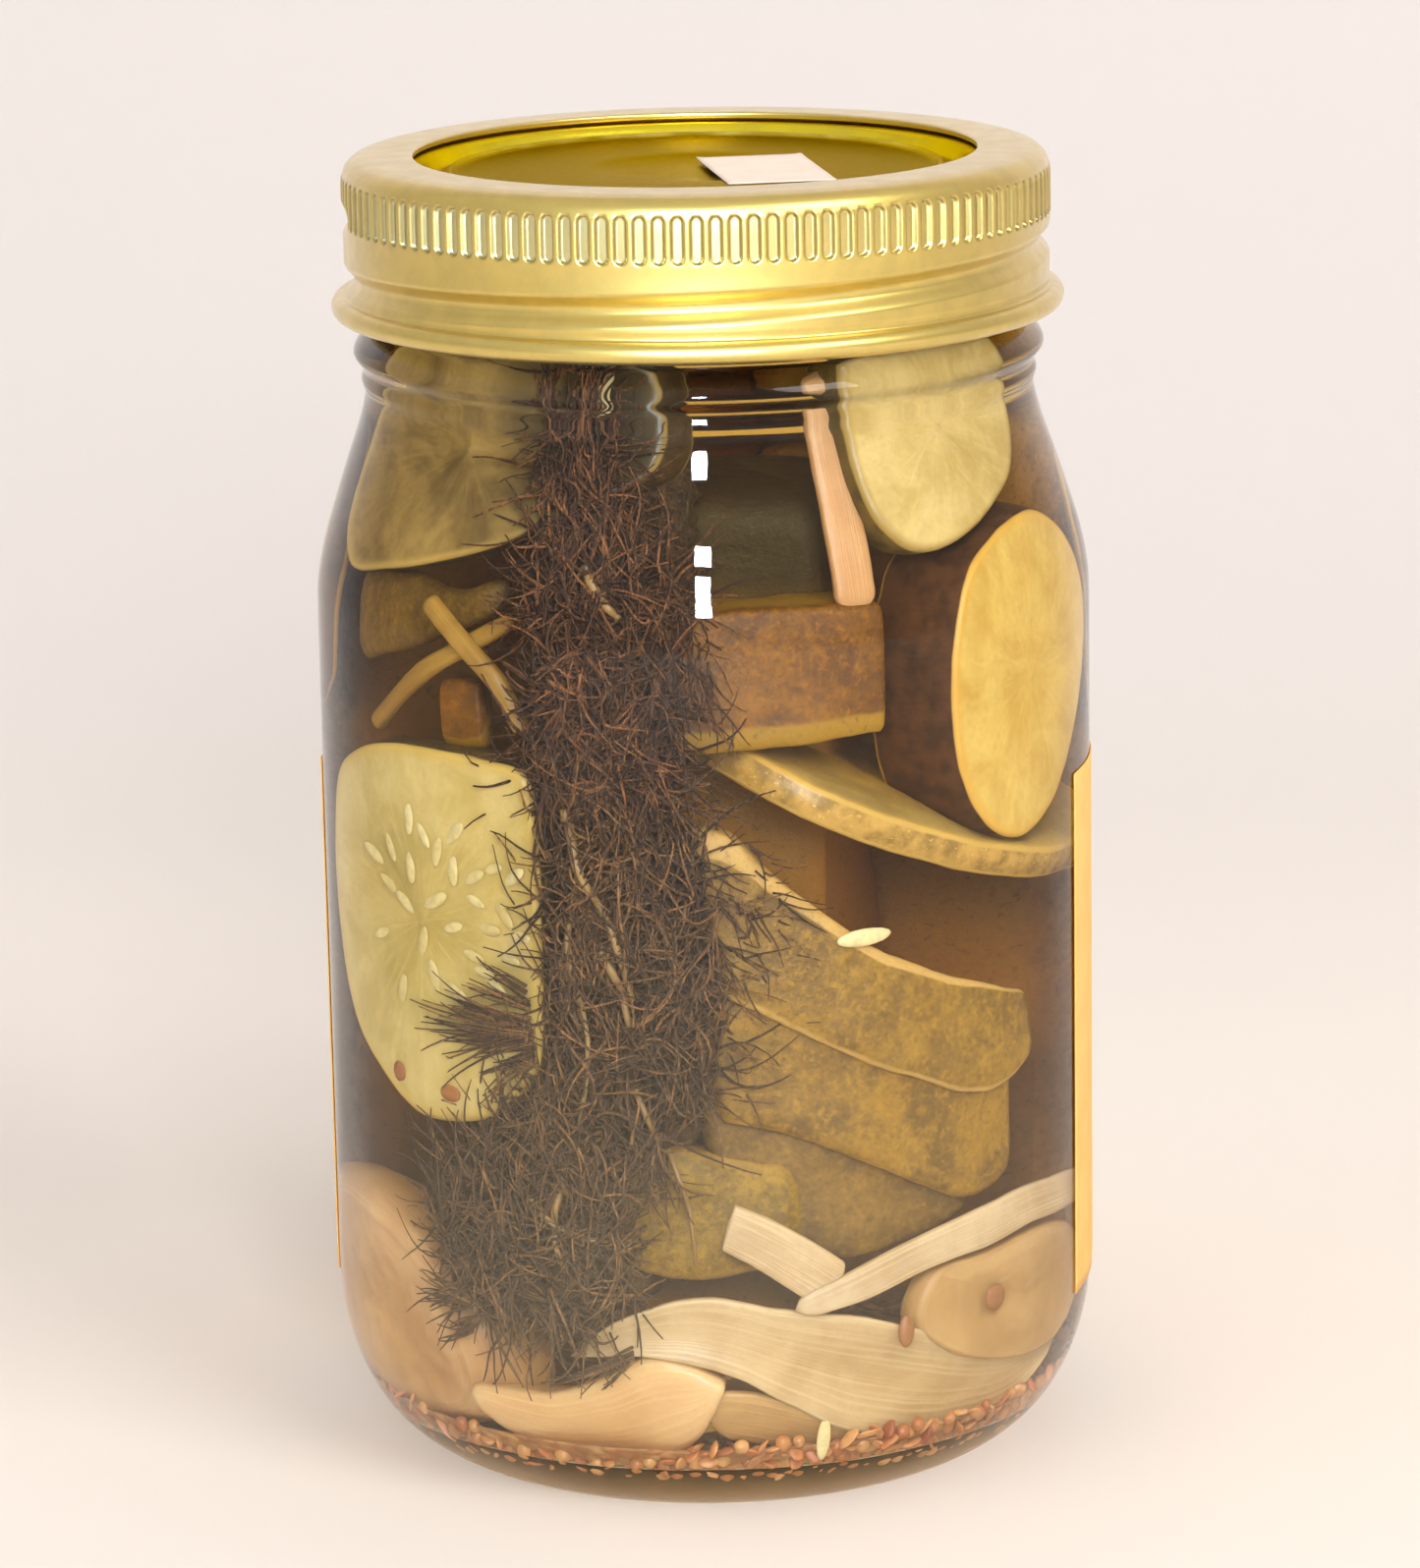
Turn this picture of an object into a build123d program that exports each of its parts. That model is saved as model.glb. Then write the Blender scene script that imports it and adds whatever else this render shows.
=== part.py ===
from build123d import *
import os
import random
from math import pi, sin, cos, radians, sqrt, hypot

# Pint canning jar with a two-piece lid (flat disc and screw band), a wrap-round
# paper label, and its packed contents in brine. Millimetres.
# Origin: centre of the base, on the plane it stands on. +Z up, -Y front, +X right.

# ---------------------------------------------------------------- glass jar
BODY_R = 39.35                     # outside of the straight body
HEEL_REACH, HEEL_HEIGHT = 13.0, 19.0
HEEL_EXPONENT = 2.15               # the heel is a superellipse
BASE_RING_IN = 24.4                # inner edge of the flat bearing ring
PUSH_UP = 1.9                      # rise of the base in the middle
WALL = 2.6                         # glass wall of the body
FLOOR_Z = 4.9                      # lowest level of the inside floor
FLOOR_CROWN = 0.9                  # rise of the inside floor in the middle
FLOOR_EDGE_R = 26.5                # where the floor turns up into the corner
INNER_Z0, INNER_Z1 = 21.0, 85.0    # straight part of the inside wall
SHOULDER_Z = 86.8                  # top of the straight body
NECK_R, NECK_Z = 33.8, 109.8
BEAD_R, BEAD_Z = 34.85, 113.9      # transfer bead under the finish
ROOT_R = 33.1                      # thread root of the finish
ROOT_Z0, ROOT_Z1 = 116.6, 130.9
LAND_IN, LAND_OUT = 31.1, 32.1     # flat sealing land
RIM_Z = 132.1                      # height of the sealing land
MOUTH_R = 30.3                     # inside of the mouth
LIP_Z = 131.2                      # where the mouth starts to round over
THROAT_R, THROAT_Z = 30.5, 118.0   # start of the tapering inside of the neck

# ---------------------------------------------------------------- threads
PITCH = 6.35                       # four threads per inch, right hand
GLASS_THREAD_R = 34.4              # crest of the glass thread
BAND_THREAD_Z = 121.2              # height of the band's thread on the -X side
THREAD_OFFSET = 2.0                # glass thread above the band's thread

# ---------------------------------------------------------------- screw band
TOP_Z = 133.5                      # top of the closed band
BAND_SHEET = 0.35
BAND_OPEN_R = 28.27                # opening in the top
BAND_R = 35.5                      # outside of the skirt
BAND_TOP_R = 33.2                  # outer edge of the flat top
BAND_CORNER_Z = 131.6              # top of the straight skirt
HEM_W, HEM_H = 0.5, 0.75           # thick edge round the opening
BAND_RIDGE_R = 34.1                # inner crest of the pressed thread
FLUTES = 122                       # vertical flutes round the grip zone
FLUTE_Z0, FLUTE_Z1 = 126.9, 131.2
FLUTE_R, FLUTE_DEPTH = 0.6, 0.18
CURL_WIRE_R, CURL_R, CURL_Z = 1.1, 35.8, 118.6   # rolled lower edge

# ---------------------------------------------------------------- disc, seal, papers
DISC_R, DISC_SHEET = 33.9, 0.3
DISC_TOP_Z = 133.1                 # flat outer land of the disc
DISC_EDGE_Z = 131.2                # bottom of its turned-down edge
PANEL_Z = 131.6                    # recessed centre panel
SEAL_IN, SEAL_OUT, SEAL_LIFT = 30.4, 32.9, 0.02
STICKER_X, STICKER_Y, STICKER_TURN = 7.0, -3.0, 12
STICKER_W, STICKER_L, STICKER_T = 11.6, 20.0, 0.1
LABEL_T, LABEL_LIFT = 0.15, 0.01
LABEL_Z0, LABEL_Z1 = 19.2, 71.6
LABEL_FROM, LABEL_TO = -21.0, 182.0   # degrees from +X, through the back (+Y)

# ---------------------------------------------------------------- contents
FILL_Z = 122.5                     # brine level
COVER = 0.6                        # least depth of brine over the pieces
GAP = 0.25                         # clearance of the pieces to the glass
MIN_VOLUME, MIN_SHARE = 3.0, 0.2   # smaller offcuts of a piece are dropped
SEED_R = 0.95
FLAKE_SIZE = (2.6, 1.7, 0.4)
SETTLED_Z = FLOOR_Z + 2.2          # lowest centre of seeds and flakes
SETTLED_GAP = 0.05                 # least distance from them to the other pieces


# ================================================================ helpers
def point(r, z):
    return Vector(r, 0, z)


def line(*points):
    """Straight edges through r-z points."""
    return [Edge.make_line(point(*a), point(*b)) for a, b in zip(points, points[1:])]


def spline(*points, tangents=None):
    """A spline through r-z points, with optional r-z directions at its two ends."""
    ends = [point(*t) for t in tangents] if tangents else None
    return [Edge.make_spline([point(*p) for p in points], tangents=ends)]


def turned(edges):
    """A solid of revolution about Z from closed r-z edges."""
    return revolve(Face(Wire(edges)), Axis.Z)


def turned_ring(r_in, r_out, z0, z1):
    return turned(line((r_in, z0), (r_out, z0), (r_out, z1), (r_in, z1), (r_in, z0)))


def polygon(corners):
    return Face(Wire([Edge.make_line(a, b) for a, b in zip(corners, corners[1:] + corners[:1])]))


def thread(foot_r, crest_r, foot_half, crest_half, turns, lead_in, z):
    """A trapezoid swept up a right-hand helix.

    It starts lead_in degrees before the -X side and passes that side at height z.
    """
    profile = polygon([point(foot_r, -foot_half), point(crest_r, -crest_half),
                       point(crest_r, crest_half), point(foot_r, foot_half)])
    path = Edge.make_helix(PITCH, PITCH * turns, (foot_r + crest_r) / 2)
    body = sweep(profile, path=path, is_frenet=True)
    return Pos(0, 0, z - PITCH * lead_in / 360) * Rot(0, 0, 180 - lead_in) * body


def inside(gap):
    """The whole inside of the jar, less a gap at the glass, open past the rim."""
    wall_r = BODY_R - WALL - gap
    top = RIM_Z + 2
    centre = (0, FLOOR_Z + FLOOR_CROWN + gap)
    floor_edge = (FLOOR_EDGE_R - gap, FLOOR_Z + gap)
    throat = (THROAT_R - gap, THROAT_Z)
    edges = spline(centre, (16, FLOOR_Z + 0.5 + gap), floor_edge)
    edges += spline(floor_edge, (31.4 - gap, 6.7 + gap), (34.6 - gap, 10.2 + gap * 0.6),
                    (36.2 - gap, 15.0), (wall_r, INNER_Z0), tangents=[(1, 0.05), (0, 1)])
    edges += line((wall_r, INNER_Z0), (wall_r, INNER_Z1))
    edges += spline((wall_r, INNER_Z1), (36.55 - gap, 90.5), (35.7 - gap, 95.5),
                    (34.2 - gap, 100.2), (32.5 - gap, 105.0), (31.2 - gap, 109.6),
                    (30.7 - gap, 114.0), throat, tangents=[(0, 1), (0, 1)])
    edges += line(throat, (MOUTH_R - gap, LIP_Z), (MOUTH_R - gap, top), (0, top), centre)
    return turned(edges)


def filled(gap, top):
    """The inside of the jar up to a height."""
    return inside(gap) & (Pos(0, 0, top / 2) * Box(90, 90, top))


# ================================================================ jar and closure
def heel_point(t):
    """Point on the heel, t from 0 (bearing ring) to 1 (straight wall)."""
    angle = radians(90 * (1 - t))
    power = 2 / HEEL_EXPONENT
    return (BODY_R - HEEL_REACH + HEEL_REACH * cos(angle) ** power,
            HEEL_HEIGHT - HEEL_HEIGHT * sin(angle) ** power)


def glass_jar():
    # outside, from the middle of the base up to the rim
    edges = spline((0, PUSH_UP), (12, PUSH_UP - 0.15), (21, PUSH_UP - 0.9), (BASE_RING_IN, 0))
    edges += line((BASE_RING_IN, 0), (BODY_R - HEEL_REACH, 0))
    edges += spline(*[heel_point(t) for t in (0, 0.12, 0.25, 0.4, 0.55, 0.7, 0.85, 1)],
                    tangents=[(1, 0), (0, 1)])
    edges += line((BODY_R, HEEL_HEIGHT), (BODY_R, SHOULDER_Z))
    edges += spline((BODY_R, SHOULDER_Z), (39.2, 90.8), (38.4, 94.9), (37.15, 98.9),
                    (35.8, 102.9), (34.4, 107.0), (NECK_R, NECK_Z), tangents=[(0, 1), (0, 1)])
    edges += spline((NECK_R, NECK_Z), (34.1, 111.2), (NECK_R + 0.1, 112.3), (BEAD_R, BEAD_Z),
                    (34.0, 115.6), (ROOT_R, ROOT_Z0), tangents=[(0, 1), (-0.4, 1)])
    edges += line((ROOT_R, ROOT_Z0), (ROOT_R, ROOT_Z1))
    edges += spline((ROOT_R, ROOT_Z1), (32.85, 131.75), (LAND_OUT, RIM_Z),
                    tangents=[(0, 1), (-1, 0)])
    edges += line((LAND_OUT, RIM_Z), (LAND_IN, RIM_Z), (0, RIM_Z), (0, PUSH_UP))

    # cutter that rounds the inner edge of the mouth
    mouth_round = turned(
        spline((LAND_IN, RIM_Z), (30.55, 131.9), (MOUTH_R, LIP_Z), tangents=[(-1, 0), (0, -1)])
        + line((MOUTH_R, LIP_Z), (29.0, LIP_Z), (29.0, RIM_Z + 1), (LAND_IN, RIM_Z + 1),
               (LAND_IN, RIM_Z)))
    jar = turned(edges) - inside(0) - mouth_round
    return jar + thread(ROOT_R - 0.4, GLASS_THREAD_R, foot_half=1.75, crest_half=0.45,
                        turns=1.15, lead_in=20, z=BAND_THREAD_Z + THREAD_OFFSET)


def screw_band():
    inner_r = BAND_R - BAND_SHEET
    under_z = TOP_Z - BAND_SHEET
    hem_r, hem_z = BAND_OPEN_R + HEM_W, TOP_Z - HEM_H
    edges = line((BAND_OPEN_R, TOP_Z), (BAND_TOP_R, TOP_Z))
    edges += spline((BAND_TOP_R, TOP_Z), (34.75, 133.0), (BAND_R, BAND_CORNER_Z),
                    tangents=[(1, 0), (0, -1)])
    edges += line((BAND_R, BAND_CORNER_Z), (BAND_R, CURL_Z), (inner_r, CURL_Z),
                  (inner_r, BAND_CORNER_Z))
    edges += spline((inner_r, BAND_CORNER_Z), (34.45, 132.75), (BAND_TOP_R, under_z),
                    tangents=[(0, 1), (-1, 0)])
    edges += line((BAND_TOP_R, under_z), (hem_r, under_z), (hem_r, hem_z),
                  (BAND_OPEN_R, hem_z), (BAND_OPEN_R, TOP_Z))
    band = turned(edges)
    band += Pos(0, 0, CURL_Z) * Torus(CURL_R, CURL_WIRE_R)

    # pressed thread: a ridge inside, then the groove outside
    band += thread(BAND_R - 0.2, BAND_RIDGE_R, foot_half=1.7, crest_half=0.45,
                   turns=1.09, lead_in=16, z=BAND_THREAD_Z)
    band -= thread(BAND_R + 0.6, BAND_RIDGE_R + 0.4, foot_half=1.85, crest_half=0.3,
                   turns=1.07, lead_in=12.4, z=BAND_THREAD_Z)

    flute = (Pos(BAND_R + FLUTE_R - FLUTE_DEPTH, 0, (FLUTE_Z0 + FLUTE_Z1) / 2)
             * Cylinder(FLUTE_R, FLUTE_Z1 - FLUTE_Z0))
    cutters = [Rot(0, 0, 360 * i / FLUTES) * flute for i in range(FLUTES)]
    return band.cut(*[s for cutter in cutters for s in cutter.solids()])


def lid_disc():
    # r, z along the upper face from the centre out to the edge
    upper = [
        (0, PANEL_Z - 0.35), (9.0, PANEL_Z - 0.2), (11.0, PANEL_Z), (23.9, PANEL_Z),
        (24.5, PANEL_Z + 0.35), (25.1, PANEL_Z), (25.6, PANEL_Z - 0.6), (26.6, PANEL_Z - 0.6),
        (27.5, 132.1), (28.3, 132.55), (28.95, 132.62), (29.35, 132.95),
        (29.8, DISC_TOP_Z), (33.3, DISC_TOP_Z), (DISC_R, 132.6), (DISC_R, DISC_EDGE_Z)]
    # r, z along the lower face from the edge back to the centre
    inner_r, under_z = DISC_R - DISC_SHEET, DISC_TOP_Z - DISC_SHEET
    lower = [
        (inner_r, DISC_EDGE_Z), (inner_r, 132.5), (33.15, under_z), (29.95, under_z),
        (29.6, 132.7), (29.15, 132.34), (28.4, 132.26), (27.75, 131.9),
        (26.9, PANEL_Z - 0.9), (25.35, PANEL_Z - 0.9), (24.85, PANEL_Z - 0.2),
        (24.5, PANEL_Z + 0.05), (24.0, PANEL_Z - DISC_SHEET), (11.0, PANEL_Z - DISC_SHEET),
        (9.0, PANEL_Z - 0.2 - DISC_SHEET), (0, PANEL_Z - 0.35 - DISC_SHEET)]
    return turned(line(*upper, *lower, upper[0]))


def sealing_ring():
    return turned_ring(SEAL_IN, SEAL_OUT, RIM_Z + SEAL_LIFT, DISC_TOP_Z - DISC_SHEET)


def price_sticker():
    return (Pos(STICKER_X, STICKER_Y, PANEL_Z + STICKER_T / 2) * Rot(0, 0, STICKER_TURN)
            * Box(STICKER_W, STICKER_L, STICKER_T))


def wrap_label():
    sleeve = turned_ring(BODY_R + LABEL_LIFT, BODY_R + LABEL_T, LABEL_Z0, LABEL_Z1)
    # open wedge in front, where the label does not meet
    reach, height = 70, 100
    span = LABEL_FROM + 360 - LABEL_TO
    angles = [radians(LABEL_TO + span * i / 3) for i in range(4)]
    corners = [Vector(0, 0, 0)] + [Vector(reach * cos(a), reach * sin(a), 0) for a in angles]
    return sleeve - extrude(polygon(corners), height, dir=(0, 0, 1))


# ================================================================ shapes of the contents
# phi is in degrees round from the front (-Y) towards the right (+X).
def at_wall(phi, z, r):
    """A frame at angle phi, its X along the wall, Y inwards, Z up."""
    p = radians(phi)
    return Plane(origin=(r * sin(p), -r * cos(p), z), x_dir=(cos(p), sin(p), 0),
                 z_dir=(0, 0, 1)).location


def round_slice(place, size, lean=0, spin=0):
    """An elliptical plate facing the glass.

    place is (phi, z, r); size is (half width, half height, thickness).
    """
    half_width, half_height, thickness = size
    plate = extrude(Ellipse(half_width, half_height), thickness / 2, both=True)
    return at_wall(*place) * Rot(90 + lean, 0, 0) * Rot(0, 0, spin) * plate


def spear(start, end, radius, roll, keep):
    """A cylinder from start to end, cut flat at keep * radius from its axis."""
    start, end = Vector(*start), Vector(*end)
    run = end - start
    across = Vector(0, 0, 1).cross(run)
    place = Plane(origin=(start + end) * 0.5, x_dir=across.normalized(),
                  z_dir=run.normalized()).location
    kept = Pos(0, radius - keep * radius, 0) * Box(2.2 * radius, 2 * radius, run.length)
    return place * Rot(0, 0, roll) * (Cylinder(radius, run.length) & kept)


def stem(start, end, radius):
    return spear(start, end, radius, roll=0, keep=1.0).solid()


def lump(profile, tangents, centre, azimuth, tilt):
    """A turned body, its axis tilted from Z and then turned to azimuth."""
    body = turned(spline(*profile, tangents=tangents) + line(profile[-1], profile[0]))
    return Pos(*centre) * Rot(0, 0, azimuth) * Rot(0, tilt, 0) * body


def clove(centre, radius, half_length, azimuth, tilt):
    """A blunt-bottomed egg that narrows to a point."""
    profile = [(0, -half_length), (radius * 0.72, -half_length * 0.72),
               (radius, -half_length * 0.1), (radius * 0.55, half_length * 0.66),
               (0, half_length)]
    return lump(profile, [(1, 0), (-0.35, 1)], centre, azimuth, tilt)


def egg(centre, radius, half_length, azimuth, tilt):
    """A spheroid."""
    profile = [(radius * sin(radians(a)), -half_length * cos(radians(a)))
               for a in range(0, 181, 30)]
    return lump(profile, [(1, 0), (-1, 0)], centre, azimuth, tilt)


def strip(points, width, thick, r):
    """A strip lying along the wall through (phi, z) points at radius r."""
    stations = [Vector(r * sin(radians(phi)), -r * cos(radians(phi)), z) for phi, z in points]
    path = Edge.make_spline(stations)
    outwards = Vector(stations[0].X, stations[0].Y, 0).normalized()
    frame = Plane(origin=stations[0], x_dir=outwards, z_dir=path.tangent_at(0))
    return sweep(frame * Rectangle(thick, width), path=path)


# ================================================================ packing
# Each piece gives way to the ones listed before it, so the order matters.
pieces = {
    "onion_strip_short": strip([(2, 31.5), (10, 26.5), (19, 21.5)], 4.4, 1.5, 35.5),
    "onion_strip_long": strip([(9, 22.0), (28, 24.5), (48, 27.5), (71, 31.0)], 3.2, 1.4, 35.6),
    "onion_strip_broad": strip(
        [(-18, 19.5), (2, 20.5), (22, 15.0), (42, 11.5), (60, 13.5)], 7.0, 1.4, 33.6),
    "onion_strip_upper": strip([(20, 112.0), (24, 104.0), (27, 94.0)], 5.5, 1.4, 30.2),
    "garlic_clove_front": clove((-12.0, -25.2, 12.3), 7.4, 14.0, azimuth=22, tilt=84),
    "garlic_clove_left": clove((-27.2, -12.5, 18.0), 7.2, 12.5, azimuth=-60, tilt=12),
    "cucumber_round_top": round_slice((38, 107.0, 26.6), (11.5, 12.5, 5.0), lean=-14),
    "cucumber_oval_right": round_slice((63, 83.0, 31.0), (12.2, 17.2, 6.0), lean=2, spin=-6),
    "cucumber_slice_left": round_slice((-55, 59.0, 29.6), (17.0, 19.5, 6.0), lean=3),
    "cucumber_slab_top": (
        at_wall(-37, 105.5, 26.6) * Rot(-14, 0, 0) * Rot(0, -22, 0) * Box(31, 4.6, 15)),
    "dill_stems": Compound([
        stem((-29.0, -15.0, 79.0), (-21.0, -27.0, 90.0), 1.3),
        stem((-24.5, -24.6, 92.5), (-17.0, -30.2, 81.5), 1.2)]),
    "dill_head": egg((-8.0, -26.2, 96.0), 7.0, 17.5, azimuth=0, tilt=0),
    "dill_sprig": egg((-11.0, -27.0, 51.0), 8.0, 28.0, azimuth=0, tilt=3),
    "cucumber_spear_middle": spear(
        (3.5, -30.5, 59.0), (31.5, -14.5, 45.5), 7.6, roll=-78, keep=0.9),
    "cucumber_spear_lower": spear(
        (0.0, -30.0, 46.0), (29.5, -17.5, 32.5), 7.8, roll=-78, keep=0.9),
    "cucumber_spear_upper": spear(
        (-4.0, -28.6, 87.0), (21.5, -24.5, 87.5), 7.0, roll=90, keep=0.8),
    "cucumber_slice_edge": (
        Pos(14.0, -13.5, 72.0) * Rot(0, 0, 35) * Rot(24, 16, 0) * Cylinder(19.0, 5.0)),
    "cucumber_end_piece": egg((-2.0, -22.0, 33.0), 9.0, 10.5, azimuth=10, tilt=90),
    "cucumber_round_back": round_slice((176, 96.5, 29.6), (12.0, 12.6, 5.5), lean=-9),
    "cucumber_oval_back": round_slice((124, 84.0, 31.0), (11.0, 15.5, 6.0), lean=2, spin=18),
    "cucumber_slice_side": round_slice(
        (-112, 91.0, 30.6), (12.0, 14.5, 6.0), lean=-5, spin=-12),
    "onion_strip_back": strip(
        [(150, 76.0), (165, 81.0), (185, 80.0), (205, 74.5), (222, 76.0)], 6.0, 1.4, 34.6),
    "onion_piece_right": round_slice((56, 21.0, 31.0), (7.5, 7.0, 3.2), lean=6),
    "cucumber_spear_back_left": spear(
        (-13.0, 12.0, 14.0), (-12.0, 14.0, 110.0), 12.5, roll=150, keep=0.9),
    "cucumber_spear_back_right": spear(
        (14.5, 13.0, 13.0), (13.5, 12.0, 104.0), 12.5, roll=215, keep=0.9),
    "cucumber_spear_core": spear(
        (0.0, -8.0, 16.0), (2.0, -7.5, 100.0), 10.5, roll=0, keep=0.8),
}


def apart(a, b):
    """Whether two bounding boxes are clear of each other."""
    return (a.min.X > b.max.X or a.max.X < b.min.X or a.min.Y > b.max.Y or a.max.Y < b.min.Y
            or a.min.Z > b.max.Z or a.max.Z < b.min.Z)


def neighbours(body, placed):
    """The placed solids whose bounding boxes meet the body's."""
    box = body.bounding_box()
    return [s for s in placed if not apart(box, s.bounding_box())]


def fitted(body, room, placed):
    """Solids of a piece, kept inside the room and clear of the placed solids."""
    body = body & room
    near = neighbours(body, placed)
    if near:
        body = body.cut(*near)
    solids = [s for s in body.solids() if s.volume > MIN_VOLUME]
    largest = max(s.volume for s in solids)
    return [s for s in solids if s.volume > MIN_SHARE * largest]


def scatter(seed, count, make, depth, max_r, spacing, taken):
    """Small items in a layer of the given depth, apart from those already in taken."""
    rng = random.Random(seed)
    items = []
    while len(items) < count:
        angle = rng.uniform(0, 2 * pi)
        r = max_r * sqrt(rng.uniform(0.05, 1))
        x, y, z = r * cos(angle), r * sin(angle), rng.uniform(SETTLED_Z, SETTLED_Z + depth)
        if all(hypot(x - q[0], y - q[1], z - q[2]) > spacing + q[3] for q in taken):
            taken.append((x, y, z, spacing))
            items.append(Pos(x, y, z) * make(rng))
    return items


def mustard_seed(rng):
    return Sphere(SEED_R)


def pepper_flake(rng):
    turn = Rot(rng.uniform(-20, 20), rng.uniform(-20, 20), rng.uniform(0, 180))
    return turn * Box(*FLAKE_SIZE)


def clear_of(items, placed):
    """Solids of the items that keep their distance from the placed solids."""
    return [s for item in items
            if all(item.solids()[0].distance_to(other) > SETTLED_GAP
                   for other in neighbours(item, placed))
            for s in item.solids()]


room = filled(GAP, FILL_Z - COVER)
contents = {}
placed = []
for name, body in pieces.items():
    contents[name] = fitted(body, room, placed)
    placed.extend(contents[name])

# seeds and flakes settled on the floor of the jar
taken = []
seeds = scatter(7, 34, mustard_seed, depth=0.6, max_r=27.0, spacing=1.3, taken=taken)
flakes = scatter(9, 22, pepper_flake, depth=0.5, max_r=28.0, spacing=1.7, taken=taken)
contents["mustard_seeds"] = clear_of(seeds, placed)
contents["pepper_flakes"] = clear_of(flakes, placed)

brine = filled(0, FILL_Z).cut(*[s for solids in contents.values() for s in solids])

# ================================================================ export
nodes = {
    "glass_jar": glass_jar().solids(),
    "screw_band": screw_band().solids(),
    "lid_disc": lid_disc().solids(),
    "sealing_ring": sealing_ring().solids(),
    "price_sticker": price_sticker().solids(),
    "wrap_label": wrap_label().solids(),
    "brine": brine.solids(),
    **contents,
}
os.makedirs("parts", exist_ok=True)
for name, solids in nodes.items():
    export_step(Compound(solids) if len(solids) > 1 else solids[0], f"parts/{name}.step")
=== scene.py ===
# A glass jar of pickled cucumber with a gold screw band, a lid and a wrap label.
# It stands on the floor at z = 0 with its axis on Z. The front faces -Y and right is +X.
# Shapes are in millimetres and become metres in new_mesh. Lights and camera are in metres.
# "phi" is an angle in degrees round the jar from the front, positive toward the right.
import bpy
import bmesh
import math
import numpy as np
from mathutils import Vector, Matrix, noise


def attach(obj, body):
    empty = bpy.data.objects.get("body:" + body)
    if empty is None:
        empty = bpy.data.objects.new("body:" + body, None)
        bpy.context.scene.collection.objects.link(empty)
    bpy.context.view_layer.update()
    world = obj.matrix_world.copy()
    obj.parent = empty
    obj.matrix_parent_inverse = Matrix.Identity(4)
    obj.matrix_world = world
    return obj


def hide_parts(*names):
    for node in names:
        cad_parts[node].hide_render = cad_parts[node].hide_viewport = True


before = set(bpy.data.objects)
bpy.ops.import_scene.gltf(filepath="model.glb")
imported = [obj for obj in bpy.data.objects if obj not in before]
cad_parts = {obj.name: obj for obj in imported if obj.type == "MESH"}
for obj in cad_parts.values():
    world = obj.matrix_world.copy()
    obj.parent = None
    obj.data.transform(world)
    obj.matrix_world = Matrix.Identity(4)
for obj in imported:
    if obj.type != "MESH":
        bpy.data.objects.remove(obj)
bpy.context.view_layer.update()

MM = 0.001
FULL_TURN = 2 * np.pi

# ---------------------------------------------------------------- driving sizes
BODY_R = 39.35
HEEL_RUN, HEEL_TOP, HEEL_POWER = 13.0, 19.0, 2.15  # rounded corner between foot and wall
FOOT_R = 24.4         # where the flat foot begins
SHOULDER_Z = 86.8
NECK_R, NECK_Z, NECK_TOP = 33.1, 116.6, 130.9
RIM_Z = 132.1
INNER_R = 36.75
FILL_Z = 122.5        # brine level
PITCH = 6.35          # screw thread
THREAD_HALF = 1.75    # half width at the root of the thread
THREAD_HEIGHT = 1.3
BAND_THREAD_Z = 121.2  # height of the band's thread at -X
BAND_R, TOP_Z = 35.5, 133.5
BAND_WALL = 0.35
FLUTES = 122          # pressed slots round the band
PANEL_Z = 131.6       # flat of the lid disc


# ---------------------------------------------------------------- curves
def even(points, count, endpoint=True):
    """Points evenly spaced along a polyline."""
    line = np.asarray(points, float)
    length = np.r_[0, np.cumsum(np.linalg.norm(np.diff(line, axis=0), axis=1))]
    want = np.linspace(0, length[-1], count, endpoint=endpoint)
    return np.stack([np.interp(want, length, column) for column in line.T], 1)


def between(first, second, start, end, time):
    return (end - time) / (end - start) * first + (time - start) / (end - start) * second


def catmull(points, count, closed=False):
    """Points evenly spaced along a centripetal spline through the given points."""
    knots = np.asarray(points, float)
    if closed:
        knots = np.vstack([knots[-1:], knots, knots[:2]])
    else:
        knots = np.vstack([2 * knots[0] - knots[1], knots, 2 * knots[-1] - knots[-2]])
    curve = []
    for i in range(1, len(knots) - 2):
        near = knots[i - 1:i + 3]
        times = [0.0]
        for j in range(3):
            step = max(np.linalg.norm(near[j + 1] - near[j]), 1e-6) ** 0.5
            times.append(times[-1] + step)
        for time in np.linspace(times[1], times[2], 24, endpoint=False):
            thirds = [between(near[j], near[j + 1], times[j], times[j + 1], time)
                      for j in range(3)]
            halves = [between(thirds[j], thirds[j + 1], times[j], times[j + 2], time)
                      for j in range(2)]
            curve.append(between(*halves, times[1], times[2], time))
    curve.append(knots[-2])
    return even(curve, count, endpoint=not closed)


def join(*parts):
    """Curves end to end, without repeating a shared point."""
    joined = [np.asarray(parts[0], float)]
    for part in parts[1:]:
        part = np.asarray(part, float)
        shared = np.allclose(part[0], joined[-1][-1], atol=1e-6)
        joined.append(part[1:] if shared else part)
    return np.vstack(joined)


def heel(part):
    """Point on the superellipse heel, from the foot (0) to the wall (1)."""
    angle, exponent = math.radians(90 * (1 - part)), 2 / HEEL_POWER
    return (BODY_R - HEEL_RUN + HEEL_RUN * max(math.cos(angle), 0) ** exponent,
            HEEL_TOP - HEEL_TOP * math.sin(angle) ** exponent)


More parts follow.
